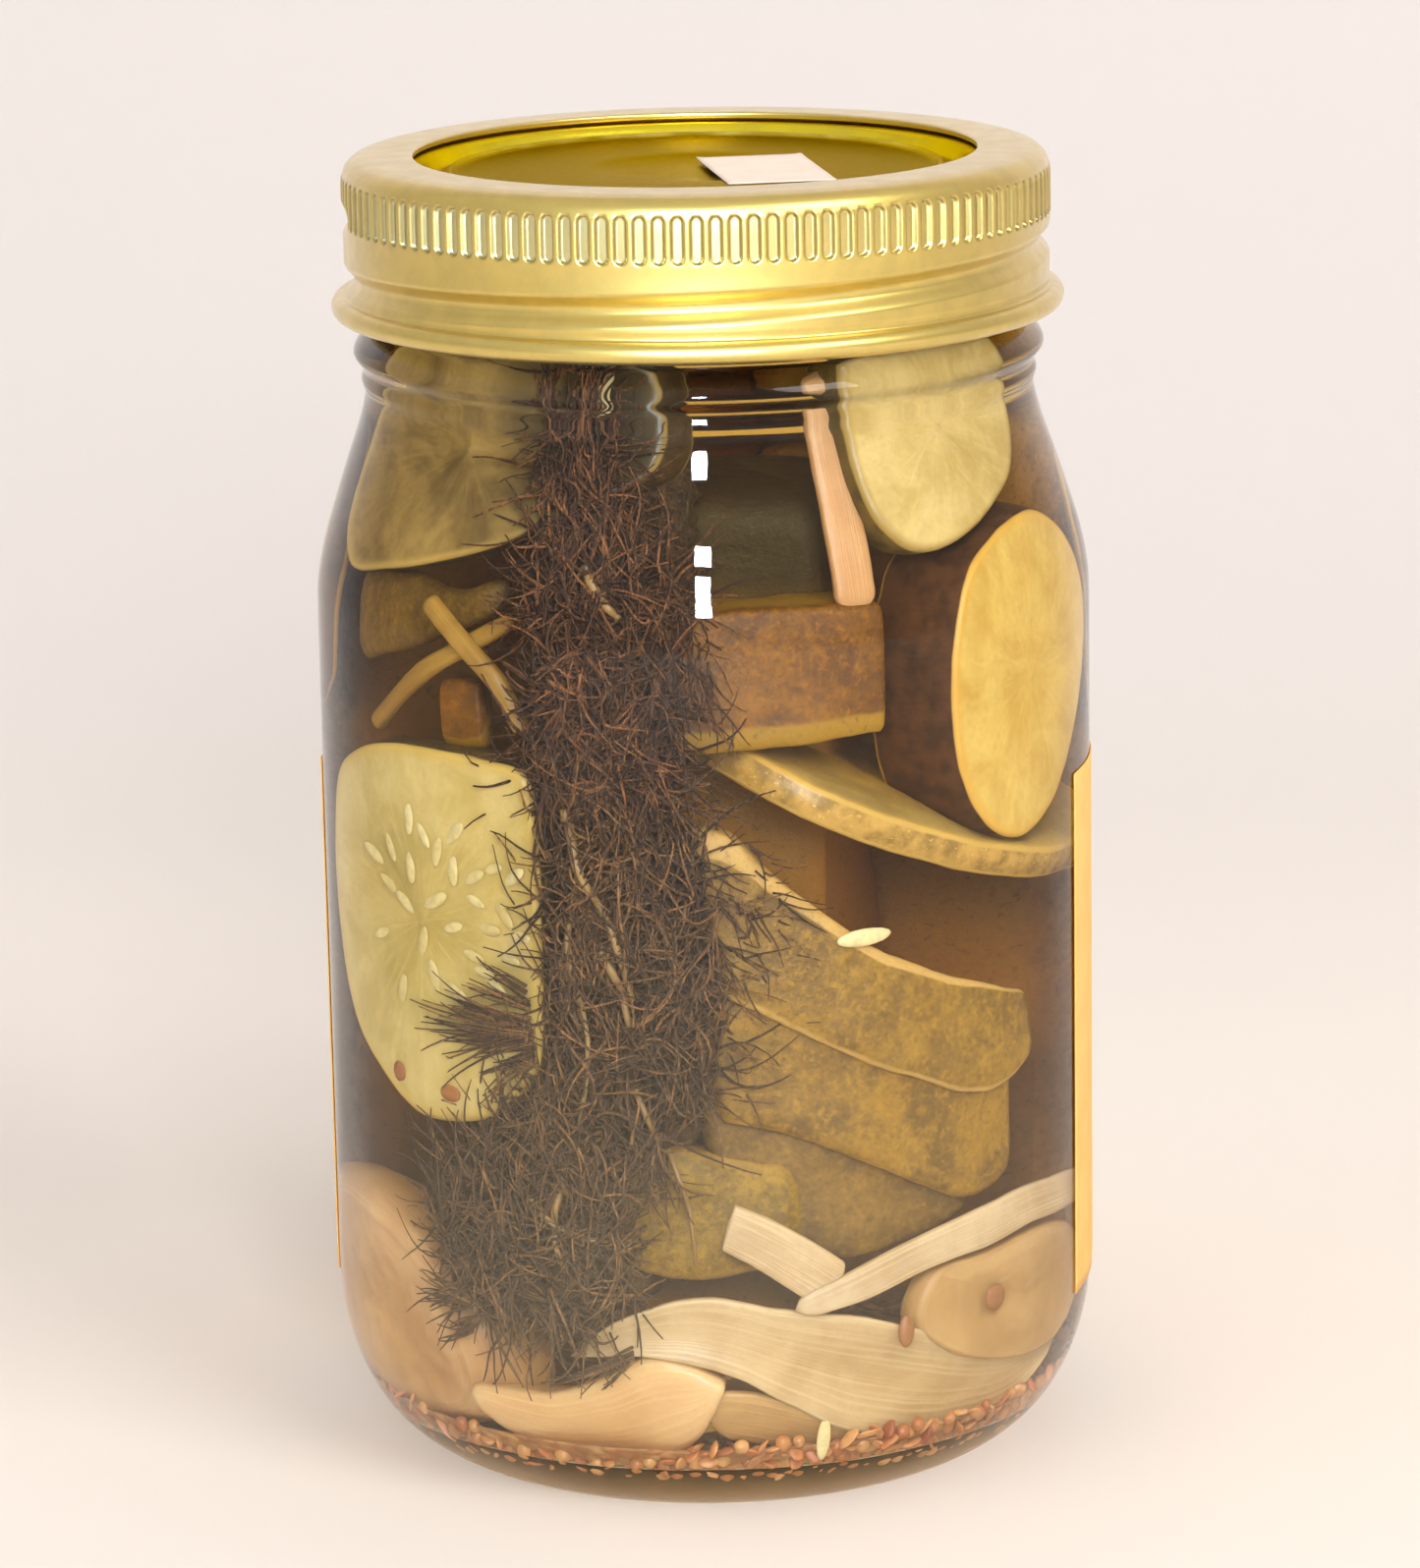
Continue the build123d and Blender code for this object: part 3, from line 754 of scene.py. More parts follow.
# ---------------------------------------------------------------- screw band
def band_gold():
    """Lacquered gold with rolling streaks; the pressed slots carry a painted greenish reflection
    and painted shade along their lips.
    """
    mat = Shader("gold_band")
    color, rough = (0.72, 0.535, 0.135), 0.31
    mottle = mat.noise(scale=0.35, detail=4.0)
    place = mat.split()
    streak = mat.noise(scale=1.0, detail=4.0, rough=0.6,
                       vector=mat.stretch(place, (0.06, 0.06, 9.0)))
    shade = mat.tint(color, scaled(color, 0.88), mottle, span=(0.3, 0.7))
    shade = mat.tint(shade, scaled(color, 1.15, plus=0.03), mat.noise(scale=6.0),
                     span=(0.55, 0.8), amount=0.25)
    slot = mat.attribute("slot")
    lip = mat.mul(mat.mul(slot, mat.sub(1.0, slot)), 4.0)
    # painted reflection: a pale greenish tint in the slots, strongest on the left
    side = mat.remap(place[0], span=(-34.0, 24.0), to=(1.0, 0.15))
    shade = mat.mix(mat.mul(mat.mul(slot, side), 0.55), shade, (0.56, 0.60, 0.40))
    # painted shade: dark lines along the slot lips
    shade = mat.mix(mat.mul(lip, 0.62), shade, (0.20, 0.15, 0.05))
    rough = mat.add(mat.remap(mottle, span=(0.2, 0.8), to=(rough * 0.88, rough * 1.12)),
                    mat.mul(streak, 0.05))
    height = mat.add(mat.mul(mat.noise(scale=14.0, detail=2.0), 0.3), streak)
    return mat.principled(color=shade, metal=1.0, rough=rough, coat=0.9, coat_rough=0.24,
                          normal=mat.bump(height, strength=0.3, depth=0.012))


# Band section, columns (radius, z): outside, rolled foot, inside
band_outer = join(
    even([(28.27, TOP_Z - 0.25), (28.32, TOP_Z - 0.08), (28.55, TOP_Z)], 6),
    even([(28.55, TOP_Z), (33.0, TOP_Z - 0.03)], 16),
    catmull([(33.0, TOP_Z - 0.03), (34.35, 133.2), (35.15, 132.5), (BAND_R, 131.5)], 16),
    even([(BAND_R, 131.5), (BAND_R, 126.2)], 46),
    even([(BAND_R, 126.2), (BAND_R - 0.02, 120.6)], 52),
    catmull([(BAND_R - 0.02, 120.6), (BAND_R - 0.12, 120.0), (BAND_R - 0.08, 119.75)], 5))
band_curl = [(35.8 + 1.1 * math.cos(angle), 118.6 + 1.1 * math.sin(angle))
             for angle in np.radians(np.linspace(102, -215, 34))]
band_inner = join(
    even([(BAND_R - BAND_WALL, 120.2), (BAND_R - BAND_WALL, 131.5)], 80),
    catmull([(BAND_R - BAND_WALL, 131.5), (34.85, 132.3), (34.2, 132.9),
             (33.0, TOP_Z - BAND_WALL)], 12),
    even([(33.0, TOP_Z - BAND_WALL), (28.9, TOP_Z - BAND_WALL)], 12),
    even([(28.9, TOP_Z - BAND_WALL), (28.75, TOP_Z - 0.6), (28.55, TOP_Z - 0.72),
          (28.32, TOP_Z - 0.6), (28.27, TOP_Z - 0.25)], 10))


def flute(z, angles):
    """0 on the ribs and plain wall, 1 in the pressed slots."""
    middle_z, half_length, half_width = 129.35, 1.72, 0.58
    part = (angles * FLUTES / FULL_TURN) % 1.0
    arc = np.abs(part - 0.5) * (FULL_TURN * BAND_R / FLUTES)
    distance = np.hypot(np.maximum(np.abs(z - middle_z) - half_length, 0), arc) / half_width
    return smoothstep(ramp01((1.14 - distance) / 0.36))


def band_shape(radii, z, angles, row):
    """Press the thread and the slots into the band's wall."""
    in_curl = len(band_outer) <= row < len(band_outer) + len(band_curl)
    if radii[0] < 34.0 or z > 132.6 or in_curl:
        return radii, z
    groove = thread_lift(z, angles, BAND_THREAD_Z, start=164, turns=1.09, crest=0.15)
    swell = 0.10 * np.exp(-((z - 128.95) / 2.6) ** 4)
    slot = 0.50 * flute(z, angles) * ramp01((z - 125.6) / 1.2) * (1 - 0.9 * groove)
    return radii + swell - groove * ramp01((z - 119.9) / 0.8) - slot, z


def build_band():
    verts, faces, _ = revolve(join(band_outer, band_curl, band_inner)[:-1], FLUTES * 12,
                              band_shape, closed=True)
    x, y, z = verts.T
    slotted = (np.hypot(x, y) > 34.4) & (z > 126.5) & (z < 132.3)
    pressed = np.where(slotted, flute(z, np.arctan2(y, x) % FULL_TURN), 0.0)
    band = fix_normals(new_mesh("band_gold", verts, faces, {"slot": pressed}))
    piece(band, "screw_band", "gold_band", band_gold(), body="band")


build_band()


# ---------------------------------------------------------------- lid, sticker and label
def disc_gold():
    """Pale centre, deep olive toward the bead, a painted highlight on the bead, yellow channel;
    brownish clouds of painted reflection.
    """
    mat = Shader("gold_disc")
    x, y, _ = mat.split()
    radius = mat.math("SQRT", mat.add(mat.mul(x, x), mat.mul(y, y)))
    cloud = mat.noise(scale=0.12, warp=0.5)
    radius = mat.add(radius, mat.sway(cloud, 3.0))
    # the palest stop, on the bead, is a painted highlight
    color = mat.ramp(mat.math("DIVIDE", radius, 34.0), [
        (0.0, (0.56, 0.40, 0.09)), (0.36, (0.42, 0.30, 0.05)), (0.56, (0.35, 0.26, 0.022)),
        (0.70, (0.42, 0.31, 0.022)), (0.735, (0.94, 0.78, 0.22)), (0.80, (0.88, 0.69, 0.03)),
        (0.90, (0.82, 0.64, 0.07))])
    # painted reflection: brownish clouds over the gold
    color = mat.tint(color, (0.42, 0.33, 0.06), cloud, span=(0.35, 0.75), to=(0.0, 0.25))
    rough = mat.remap(mat.noise(scale=2.0), span=(0.2, 0.8), to=(0.20, 0.26))
    normal = mat.bump(mat.noise(scale=0.5, detail=2.0), strength=0.3, depth=0.02)
    return mat.principled(color=color, metal=1.0, rough=rough, normal=normal,
                          tint=(0.62, 0.48, 0.10, 1))


def paper(name, color, patch):
    mat = Shader(name)
    fibre = mat.noise(scale=9.0, detail=4.0)
    shade = mat.tint(color, patch, mat.noise(scale=0.22), span=(0.3, 0.75))
    shade = mat.tint(shade, scaled(color, 0.82), fibre, span=(0.4, 0.7), amount=0.18)
    return mat.principled(color=shade, rough=mat.remap(fibre, span=(0.2, 0.8), to=(0.5, 0.7)),
                          normal=mat.bump(fibre, strength=0.3, depth=0.03), spec=0.35)


def rubber():
    mat = Shader("seal_compound")
    grain = mat.noise(scale=1.6, detail=4.0)
    return mat.principled(color=mat.mix(grain, (0.30, 0.05, 0.035), (0.20, 0.03, 0.02)),
                          rough=0.55, normal=mat.bump(grain, strength=0.3, depth=0.05))


def build_disc():
    flat = catmull([(0, PANEL_Z - 0.42), (6.0, PANEL_Z - 0.36), (9.0, PANEL_Z - 0.2),
                    (10.6, PANEL_Z - 0.03), (12.0, PANEL_Z), (18, PANEL_Z),
                    (23.6, PANEL_Z)], 60)
    # bead, channel and outer rim
    rim = catmull([(23.6, PANEL_Z), (24.1, PANEL_Z + 0.12), (24.55, PANEL_Z + 0.36),
                   (25.0, PANEL_Z + 0.1), (25.35, PANEL_Z - 0.4), (25.9, PANEL_Z - 0.6),
                   (26.5, PANEL_Z - 0.55), (27.1, PANEL_Z - 0.1), (27.6, 132.15),
                   (28.2, 132.5), (28.9, 132.62), (29.3, 132.9), (29.8, 133.08),
                   (33.1, 133.1), (33.7, 132.85), (33.9, 132.4), (33.9, 131.2)], 110)
    top = join(flat, rim)
    slope = np.gradient(top, axis=0)
    slope /= np.linalg.norm(slope, axis=1, keepdims=True)
    under = top + np.stack([slope[:, 1], -slope[:, 0]], 1) * 0.27
    under[0, 0] = 0
    verts, faces, _ = revolve(join(top, under[::-1]), 240)
    disc = fix_normals(new_mesh("disc_gold", verts, faces))
    piece(disc, "lid_disc", "gold_disc", disc_gold(), body="lid")


def build_seal():
    """A flat ring under the lid's rim."""
    middle_r, half_width, middle_z, half_height = 31.65, 1.225, 132.45, 0.33
    section = [(middle_r + half_width * math.cos(angle), middle_z + half_height * math.sin(angle))
               for angle in np.linspace(0, FULL_TURN, 28, endpoint=False)]
    verts, faces, _ = revolve(section, 200, closed=True)
    seal = fix_normals(new_mesh("seal_ring", verts, faces))
    piece(seal, "sealing_ring", "seal_compound", rubber(), body="lid")


def build_sticker():
    """A turned rectangle on the lid whose two rear corners lift a little."""
    width, depth, turn = 10.8, 20.0, math.radians(9)
    centre_x, centre_y = 7.0, -3.0
    cosine, sine = math.cos(turn), math.sin(turn)
    grid = np.zeros((15, 25, 3))
    for i, across in enumerate(np.linspace(-0.5, 0.5, 15)):
        for j, along in enumerate(np.linspace(-0.5, 0.5, 25)):
            x, y = across * width, along * depth
            corner = max(0, abs(across) * 2 - 0.86) * max(0, along * 2 - 0.7)
            grid[i, j] = (centre_x + x * cosine - y * sine, centre_y + x * sine + y * cosine,
                          PANEL_Z + 0.12 + 0.5 * corner * 4)
    sticker = sheet("sticker_white", grid, np.array([0, 0, -0.09]))
    piece(sticker, "price_sticker", "sticker_paper",
          paper("sticker_paper", srgb(238, 220, 206), srgb(230, 212, 198)), body="lid")


def build_label():
    """Wraps the back of the jar and leaves the front clear."""
    columns, rows = 200, 40
    angles = np.radians(np.linspace(-21, 182, columns))  # from +X toward +Y
    wall = outer_profile[OUTER_WALL]
    grid = np.zeros((columns, rows, 3))
    for i, angle in enumerate(angles):
        end_lift = 0.10 * max(0, 1 - min(i, columns - 1 - i) / 4.0)
        for j, z in enumerate(np.linspace(16.6, 71.6, rows)):
            ripple = 0.02 * noise.noise(Vector((angle * 6, z * 0.1, 3.0)))
            radius = np.interp(z, wall[:, 1], wall[:, 0]) + 0.15 + end_lift + ripple
            grid[i, j] = (radius * math.cos(angle), radius * math.sin(angle), z)
    inward = -np.stack([np.cos(angles), np.sin(angles), np.zeros(columns)], 1)[:, None] * 0.12
    piece(sheet("label_orange", grid, inward), "wrap_label", "label_paper",
          paper("label_paper", srgb(243, 192, 108), srgb(236, 180, 92)))


build_disc()
build_seal()
build_sticker()
build_label()


# ---------------------------------------------------------------- materials of the contents
def flesh(name, pale, deep, rim, skin, heart=False, dusk=False):
    """Cut cucumber: pale flesh with faint rays, a thin rim, and skin on the side."""
    mat = Shader(name)
    out, side, polar = mat.uvw()
    cloud = mat.noise(scale=0.16, warp=0.6)
    grain = mat.noise(scale=1.6, detail=4.0)
    rays = mat.noise(scale=1.0, detail=2.0, vector=mat.stretch((polar, out), (60.0, 3.0)))
    color = mat.tint(pale, deep, cloud, span=(0.3, 0.7))
    if heart:
        # a wetter middle with three lobes
        angle = mat.mul(polar, 6.28318)
        lobes = mat.mul(mat.add(mat.math("COSINE", mat.mul(angle, 3.0)), 1.0), 0.5)
        middle = mat.remap(mat.add(out, mat.sway(cloud, 0.25)), span=(0.44, 0.62),
                           to=(1.0, 0.0))
        middle = mat.mul(middle, mat.remap(lobes, span=(0.0, 0.8), to=(0.55, 1.0)))
        wet = tuple(part * factor for part, factor in zip(deep, (0.80, 0.82, 0.66)))
        color = mat.mix(mat.mul(middle, 0.55), color, wet)
    color = mat.tint(color, scaled(pale, 1.2), rays, span=(0.45, 0.75), amount=0.30)
    color = mat.tint(color, scaled(deep, 0.72), grain, span=(0.35, 0.8), amount=0.22)
    color = mat.tint(color, rim, out, span=(0.90, 0.985), amount=0.75)
    if dusk:
        # painted shade: darker toward its right-hand end, under the leaves
        shade = mat.remap(mat.add(mat.split()[0], mat.sway(cloud, 9.0)),
                          span=(-25.0, -10.0), to=(0.1, 0.88))
        off_rim = mat.remap(out, span=(0.97, 1.0), to=(1.0, 0.5))
        color = mat.mix(mat.mul(shade, off_rim), color, (0.03, 0.022, 0.011))
    peel = mat.tint(skin, scaled(skin, 0.5), mat.noise(scale=0.5, detail=4.0),
                    span=(0.35, 0.7))
    peel = mat.tint(peel, scaled(skin, 1.9), mat.noise(scale=2.6, detail=2.0),
                    span=(0.62, 0.72), amount=0.5)
    color = mat.tint(color, peel, side, span=(0.75, 1.0))
    height = mat.add(mat.mul(grain, 0.6), mat.mul(rays, 0.5))
    return mat.principled(color=color, rough=0.42, spec=0.2, sss=0.25,
                          sss_radius=(1.0, 0.75, 0.35), sss_scale=0.003,
                          normal=mat.bump(height, strength=0.45, depth=0.25))


def skin(name, light, dark, cut, edge, lower_edge=False, strip=None, dusk=False):
    """Cucumber skin facing out, with a pale cut edge.

    edge is how far across the cut starts; lower_edge puts it along the bottom only.
    strip is (start, slope along) of a cut strip along the top that narrows to the right.
    """
    mat = Shader(name)
    along, across, depth = mat.uvw()
    patches = mat.noise(scale=0.55, detail=5.0, rough=0.7)
    grain = mat.noise(scale=1.3, detail=5.0, rough=0.75)
    color = mat.tint(light, dark, mat.noise(scale=0.11, warp=0.8), span=(0.32, 0.66))
    color = mat.tint(color, scaled(light, 1.45), patches, span=(0.42, 0.7), amount=0.5)
    color = mat.tint(color, scaled(dark, 0.55), mat.noise(scale=2.4), span=(0.5, 0.72),
                     amount=0.35)
    reach = mat.mul(across, -1.0) if lower_edge else mat.math("ABSOLUTE", across)
    wave = mat.sway(mat.noise(scale=0.25, detail=2.0), 0.10)
    cut_mask = mat.remap(mat.add(reach, wave), span=(edge - 0.04, edge + 0.05))
    if strip:
        start = mat.add(mat.mul(along, strip[1]), strip[0])
        over = mat.sub(mat.add(across, wave), start)
        cut_mask = mat.math("MAXIMUM", cut_mask, mat.remap(over, span=(-0.02, 0.03)))
    color = mat.mix(mat.mul(cut_mask, 0.9), color, cut)
    color = mat.tint(color, scaled(cut, 0.8), depth, span=(-0.2, 0.1), to=(1.0, 0.0))
    color = mat.tint(color, scaled(light, 1.6), grain, span=(0.50, 0.66), to=(0.0, 0.5))
    color = mat.tint(color, scaled(dark, 0.5), grain, span=(0.30, 0.47), to=(0.5, 0.0))
    if dusk:
        # painted shade: near black toward the top
        color = mat.tint(color, (0.012, 0.009, 0.005), mat.split()[2], span=(84.0, 94.0),
                         to=(0.0, 0.88))
    height = mat.add(patches, mat.mul(grain, 0.8))
    return mat.principled(color=color, rough=0.45, spec=0.2, sss=0.12,
                          sss_radius=(1, 0.7, 0.3), sss_scale=0.002,
                          normal=mat.bump(height, strength=0.6, depth=0.35))


def soft(name, light, dark, streak, sss=0.35):
    """Garlic, onion and stem: smooth moist body with faint lengthwise veins."""
    mat = Shader(name)
    vein = mat.noise(scale=1.0, vector=mat.stretch(mat.uvw(), (2.0, 14.0, 2.0)))
    grain = mat.noise(scale=1.8, detail=4.0)
    color = mat.tint(light, dark, mat.noise(scale=0.12, warp=0.4), span=(0.3, 0.7))
    color = mat.tint(color, streak, vein, span=(0.45, 0.72), amount=0.6)
    color = mat.tint(color, scaled(dark, 0.75), grain, span=(0.45, 0.8), amount=0.2)
    height = mat.add(vein, mat.mul(grain, 0.4))
    return mat.principled(color=color, rough=0.4, spec=0.2, sss=sss,
                          sss_radius=(1.0, 0.7, 0.4), sss_scale=0.004,
                          normal=mat.bump(height, strength=0.35, depth=0.2))


def dill(name, dark, light, patch, pale=0.35):
    """Matted threads, drawn out lengthwise and paler toward the bottom."""
    mat = Shader(name)
    random = mat.attribute("rnd")
    place = mat.split()
    thread = mat.noise(scale=1.0, detail=4.0, rough=0.65, warp=1.6,
                       vector=mat.stretch(place, (2.6, 2.6, 0.55)))
    color = mat.mix(mat.remap(random, span=(0.15, 0.85), smooth=False),
                    scaled(dark, 0.55), light)
    color = mat.tint(color, scaled(light, 1.9), random, span=(0.86, 0.9), to=(0.0, 0.7))
    color = mat.tint(color, patch, mat.noise(scale=0.35), span=(0.45, 0.7), amount=0.5)
    # painted shade between the threads and painted highlights on them
    color = mat.tint(color, scaled(dark, 0.25), thread, span=(0.38, 0.56), to=(0.75, 0.0))
    color = mat.tint(color, scaled(light, 1.9), thread, span=(0.56, 0.68), to=(0.0, 0.55))
    color = mat.tint(color, srgb(132, 106, 74), place[2], span=(15.0, 85.0), to=(pale, 0.0))
    return mat.principled(color=color, rough=0.55, spec=0.15,
                          normal=mat.bump(thread, strength=0.8, depth=0.5))


def seedy(name, first, middle, last, rough=0.4):
    """Each grain takes a colour between the three."""
    mat = Shader(name)
    grain = mat.noise(scale=1.2, detail=4.0)
    color = mat.ramp(mat.attribute("rnd"), [(0.0, first), (0.5, middle), (1.0, last)])
    color = mat.tint(color, scaled(first, 0.55), grain, span=(0.4, 0.7), amount=0.4)
    return mat.principled(color=color, rough=rough, spec=0.25, sss=0.1,
                          sss_radius=(1, 0.6, 0.3), sss_scale=0.001,
                          normal=mat.bump(grain, strength=0.4, depth=0.2))


def spice_bed():
    mat = Shader("spice_bed")
    cells = mat.node("TexVoronoi", {"Vector": mat.place, "Scale": 0.72, "Randomness": 1.0})
    color = mat.ramp(mat.split(cells["Color"])[0], [
        (0.0, srgb(206, 160, 104)), (0.3, srgb(188, 132, 80)), (0.6, srgb(170, 108, 62)),
        (0.8, srgb(214, 176, 122)), (1.0, srgb(150, 84, 48))])
    color = mat.tint(color, srgb(190, 142, 88), mat.noise(scale=0.25), span=(0.35, 0.7),
                     to=(0.0, 0.5))
    # painted shade in the crevices between the grains
    color = mat.tint(color, srgb(128, 84, 50), cells["Distance"], span=(0.3, 0.62),
                     to=(0.0, 0.45))
    height = mat.sub(1.0, cells["Distance"])
    return mat.principled(color=color, rough=0.5, spec=0.2, sss=0.1,
                          sss_radius=(1, 0.6, 0.3), sss_scale=0.001,
                          normal=mat.bump(height, strength=0.9, depth=0.5))


# flesh: pale, deep, rim, skin
FLESH_LEFT = flesh("cucumber_flesh_left", srgb(216, 194, 132), srgb(196, 172, 102),
                   srgb(206, 172, 86), srgb(96, 76, 36), heart=True)
FLESH_RIGHT = flesh("cucumber_flesh_right", srgb(214, 182, 102), srgb(194, 156, 72),
                    srgb(206, 160, 66), srgb(92, 58, 34))
FLESH_TOP = flesh("cucumber_flesh_top", srgb(208, 184, 126), srgb(186, 160, 96),
                  srgb(150, 122, 56), srgb(104, 84, 38))
FLESH_SLAB = flesh("cucumber_flesh_slab", srgb(176, 146, 82), srgb(124, 98, 50),
                   srgb(204, 172, 96), srgb(78, 58, 30), dusk=True)
FLESH_EDGE = flesh("cucumber_flesh_edge", srgb(184, 158, 94), srgb(160, 134, 78),
                   srgb(206, 168, 88), srgb(196, 158, 86))
# skin: light, dark, cut edge
SKIN_MIDDLE = skin("cucumber_skin_mid", srgb(150, 114, 36), srgb(112, 82, 28),
                   srgb(206, 168, 100), edge=0.90, strip=(0.66, 0.27))
SKIN_LOW = skin("cucumber_skin_low", srgb(150, 114, 36), srgb(110, 82, 30),
                srgb(176, 140, 74), edge=0.97)
SKIN_DULL = skin("cucumber_skin_dull", srgb(132, 102, 44), srgb(102, 78, 36),
                 srgb(142, 110, 58), edge=0.99)
SKIN_AMBER = skin("cucumber_skin_amber", srgb(132, 86, 2), srgb(98, 60, 4),
                  srgb(164, 128, 36), edge=0.66, lower_edge=True)
SKIN_DARK = skin("cucumber_skin_dark", srgb(104, 76, 38), srgb(60, 44, 26),
                 srgb(150, 118, 60), edge=0.93)
SKIN_GREEN = skin("cucumber_skin_green", srgb(152, 122, 36), srgb(120, 94, 30),
                  srgb(156, 122, 52), edge=0.86)
CORE = skin("cucumber_core_cut", srgb(126, 94, 44), srgb(90, 66, 32), srgb(186, 142, 70),
            edge=0.97, dusk=True)
# soft: light, dark, streak
GARLIC = soft("garlic_flesh", srgb(232, 194, 148), srgb(222, 180, 134),
              srgb(240, 206, 162), sss=0.45)
GARLIC_LEFT = soft("garlic_flesh_left", srgb(212, 172, 130), srgb(198, 154, 114),
                   srgb(224, 186, 146), sss=0.45)
ONION = soft("onion_flesh", srgb(206, 180, 146), srgb(184, 154, 116), srgb(222, 200, 168))
ONION_DULL = soft("onion_flesh_dull", srgb(192, 156, 108), srgb(174, 136, 88),
                  srgb(206, 172, 126))
ONION_PINK = soft("onion_flesh_pink", srgb(206, 162, 122), srgb(190, 142, 102),
                  srgb(216, 178, 142))
STEM = soft("dill_stem_flesh", srgb(174, 136, 60), srgb(146, 108, 48), srgb(190, 154, 80),
            sss=0.2)
# dill: dark, light, patch
DILL = dill("dill_leaf", srgb(66, 48, 32), srgb(98, 72, 44), srgb(52, 38, 26))
DILL_HAIR = dill("dill_hair", srgb(84, 56, 34), srgb(136, 96, 56), srgb(66, 46, 32),
                 pale=0.25)
DILL_LIGHT = dill("dill_leaf_light", srgb(84, 52, 30), srgb(124, 80, 46), srgb(54, 38, 26),
                  pale=0.14)
# seedy: first, middle, last
MUSTARD = seedy("mustard_seed", srgb(192, 132, 76), srgb(166, 98, 54), srgb(214, 164, 104))
FLAKE = seedy("pepper_flake", srgb(190, 104, 54), srgb(222, 168, 108), srgb(150, 74, 42),
              rough=0.5)
PALE_SEED = seedy("cucumber_seed", srgb(218, 198, 140), srgb(228, 212, 162),
                  srgb(206, 184, 124))
TWIG = seedy("dill_twig", srgb(150, 118, 66), srgb(132, 100, 54), srgb(166, 134, 80),
             rough=0.5)
BROWN_SPICE = seedy("spice_brown", srgb(160, 104, 58), srgb(146, 96, 52), srgb(174, 112, 60),
                    rough=0.5)

# ---------------------------------------------------------------- onion and garlic
# Lofts take a top and a bottom edge, columns (phi, z).
piece(loft("onion_short",
           [(2.9, 34.2), (8.7, 32.5), (16.3, 29.4), (21.2, 27.0)],
           [(0.7, 29.6), (6.6, 27.3), (12.5, 24.5), (17.0, 22.3)],
           gap=0.9, thick=1.7, square=4.5, ends=(0.02, 0.05), wobble=0.12),
      "onion_strip_short", "onion", ONION)
piece(loft("onion_long",
           [(11.4, 24.1), (19.5, 26.0), (30.4, 28.4), (42.9, 29.9), (55.0, 30.6),
            (69.3, 29.8), (82, 28)],
           [(13.1, 21.8), (23.7, 23.2), (35.0, 25.1), (48.5, 25.8), (57.7, 26.4),
            (69.2, 25.7), (82, 25)],
           gap=0.5, thick=1.4, square=4.0, ends=(0.06, 0.06), wobble=0.12),
      "onion_strip_long", "onion", ONION)
piece(loft("onion_broad",
           [(-24.2, 18.4), (-17.0, 21.6), (-8.9, 23.8), (-1.4, 24.4), (10.6, 23.0),
            (23.3, 21.2), (36.1, 18.4), (47.9, 15.4), (59.1, 13.8), (72, 14.5)],
           [(-24.0, 16.6), (-13.8, 18.0), (-4.6, 17.2), (3.2, 15.6), (11.4, 12.6),
            (20.2, 9.6), (30, 7.7), (41.9, 6.9), (54.1, 7.2), (70, 10.0)],
           gap=2.2, thick=1.9, square=4.0, ends=(0.10, 0.08), wobble=0.3, curl=0.9),
      "onion_strip_broad", "onion", ONION)
piece(loft("onion_upper",
           [(20.2, 113.0), (20.8, 106.0), (21.4, 100.6), (22.0, 91.8)],
           [(28.0, 113.0), (28.2, 106.0), (29.0, 101.2), (29.4, 92.0)],
           gap=3.0, thick=1.8, square=3.2, ends=(0.03, 0.08), wobble=0.12),
      "onion_strip_upper", "onion", ONION_PINK)
piece(loft("onion_under",
           [(-2.5, 14.6), (5, 14.4), (15.4, 12.4), (26, 9.8)],
           [(-1.5, 9.6), (5, 8.6), (14.4, 7.6), (25, 7.2)],
           gap=1.9, thick=2.2, square=3.0, ends=(0.15, 0.15)),
      "onion_strip_broad", "onion", ONION_DULL)
piece(wall_slice("onion_right",
                 [(37, 24.4), (46.4, 25.0), (56.2, 25.4), (66, 25.0), (76, 22.0),
                  (77, 15.0), (70, 12.4), (62.4, 12.1), (50.9, 13.2), (40.8, 15.4),
                  (33.5, 19.5)],
                 gap=1.6, thick=3.0, bulge=1.2, dish=0, corner=0.7),
      "onion_piece_right", "onion", ONION_DULL)
piece(loft("onion_back",
           [(150, 79), (165, 84), (185, 83), (205, 77.5), (222, 79)],
           [(151, 73), (165, 78), (185, 77), (205, 71.5), (221, 73)],
           gap=1.2, thick=1.7, square=4),
      "onion_strip_back", "onion", ONION)
piece(loft("garlic_front",
           [(-44.8, 13.0), (-35.9, 13.4), (-27.3, 13.7), (-17.3, 16.1), (-11.1, 18.1),
            (-5.2, 17.8), (1.4, 15.7)],
           [(-45.6, 11.6), (-39.3, 8.0), (-30.5, 6.1), (-20, 5.6), (-11.1, 6.3),
            (-3.0, 9.6), (1.6, 15.1)],
           gap=0.7, thick=10.5, square=2.15, ends=(0.06, 0.03), rows=80, sides=56,
           wobble=0.25, lead=2.2),
      "garlic_clove_front", "garlic", GARLIC)
piece(wall_slice("garlic_left",
                 [(-66.5, 29.0), (-57, 26.8), (-48.2, 23.8), (-42.5, 19.0), (-40.0, 14.0),
                  (-41.6, 9.4), (-54, 7.0), (-75, 7.0), (-95, 10), (-104, 16), (-98, 24),
                  (-82, 28.5)],
                 gap=1.2, thick=9.0, bulge=1.6, dish=0, corner=3.2, wobble=0.35),
      "garlic_clove_left", "garlic", GARLIC_LEFT)


# ---------------------------------------------------------------- cucumber slices
def cucumber_slice(name, node, material, outline, gap=1.0, **shape):
    """A slice along the wall, its outline in columns (phi, z)."""
    thing = wall_slice(name, outline, gap, **shape)
    piece(thing, node, "cucumber_flesh", material)
    return thing


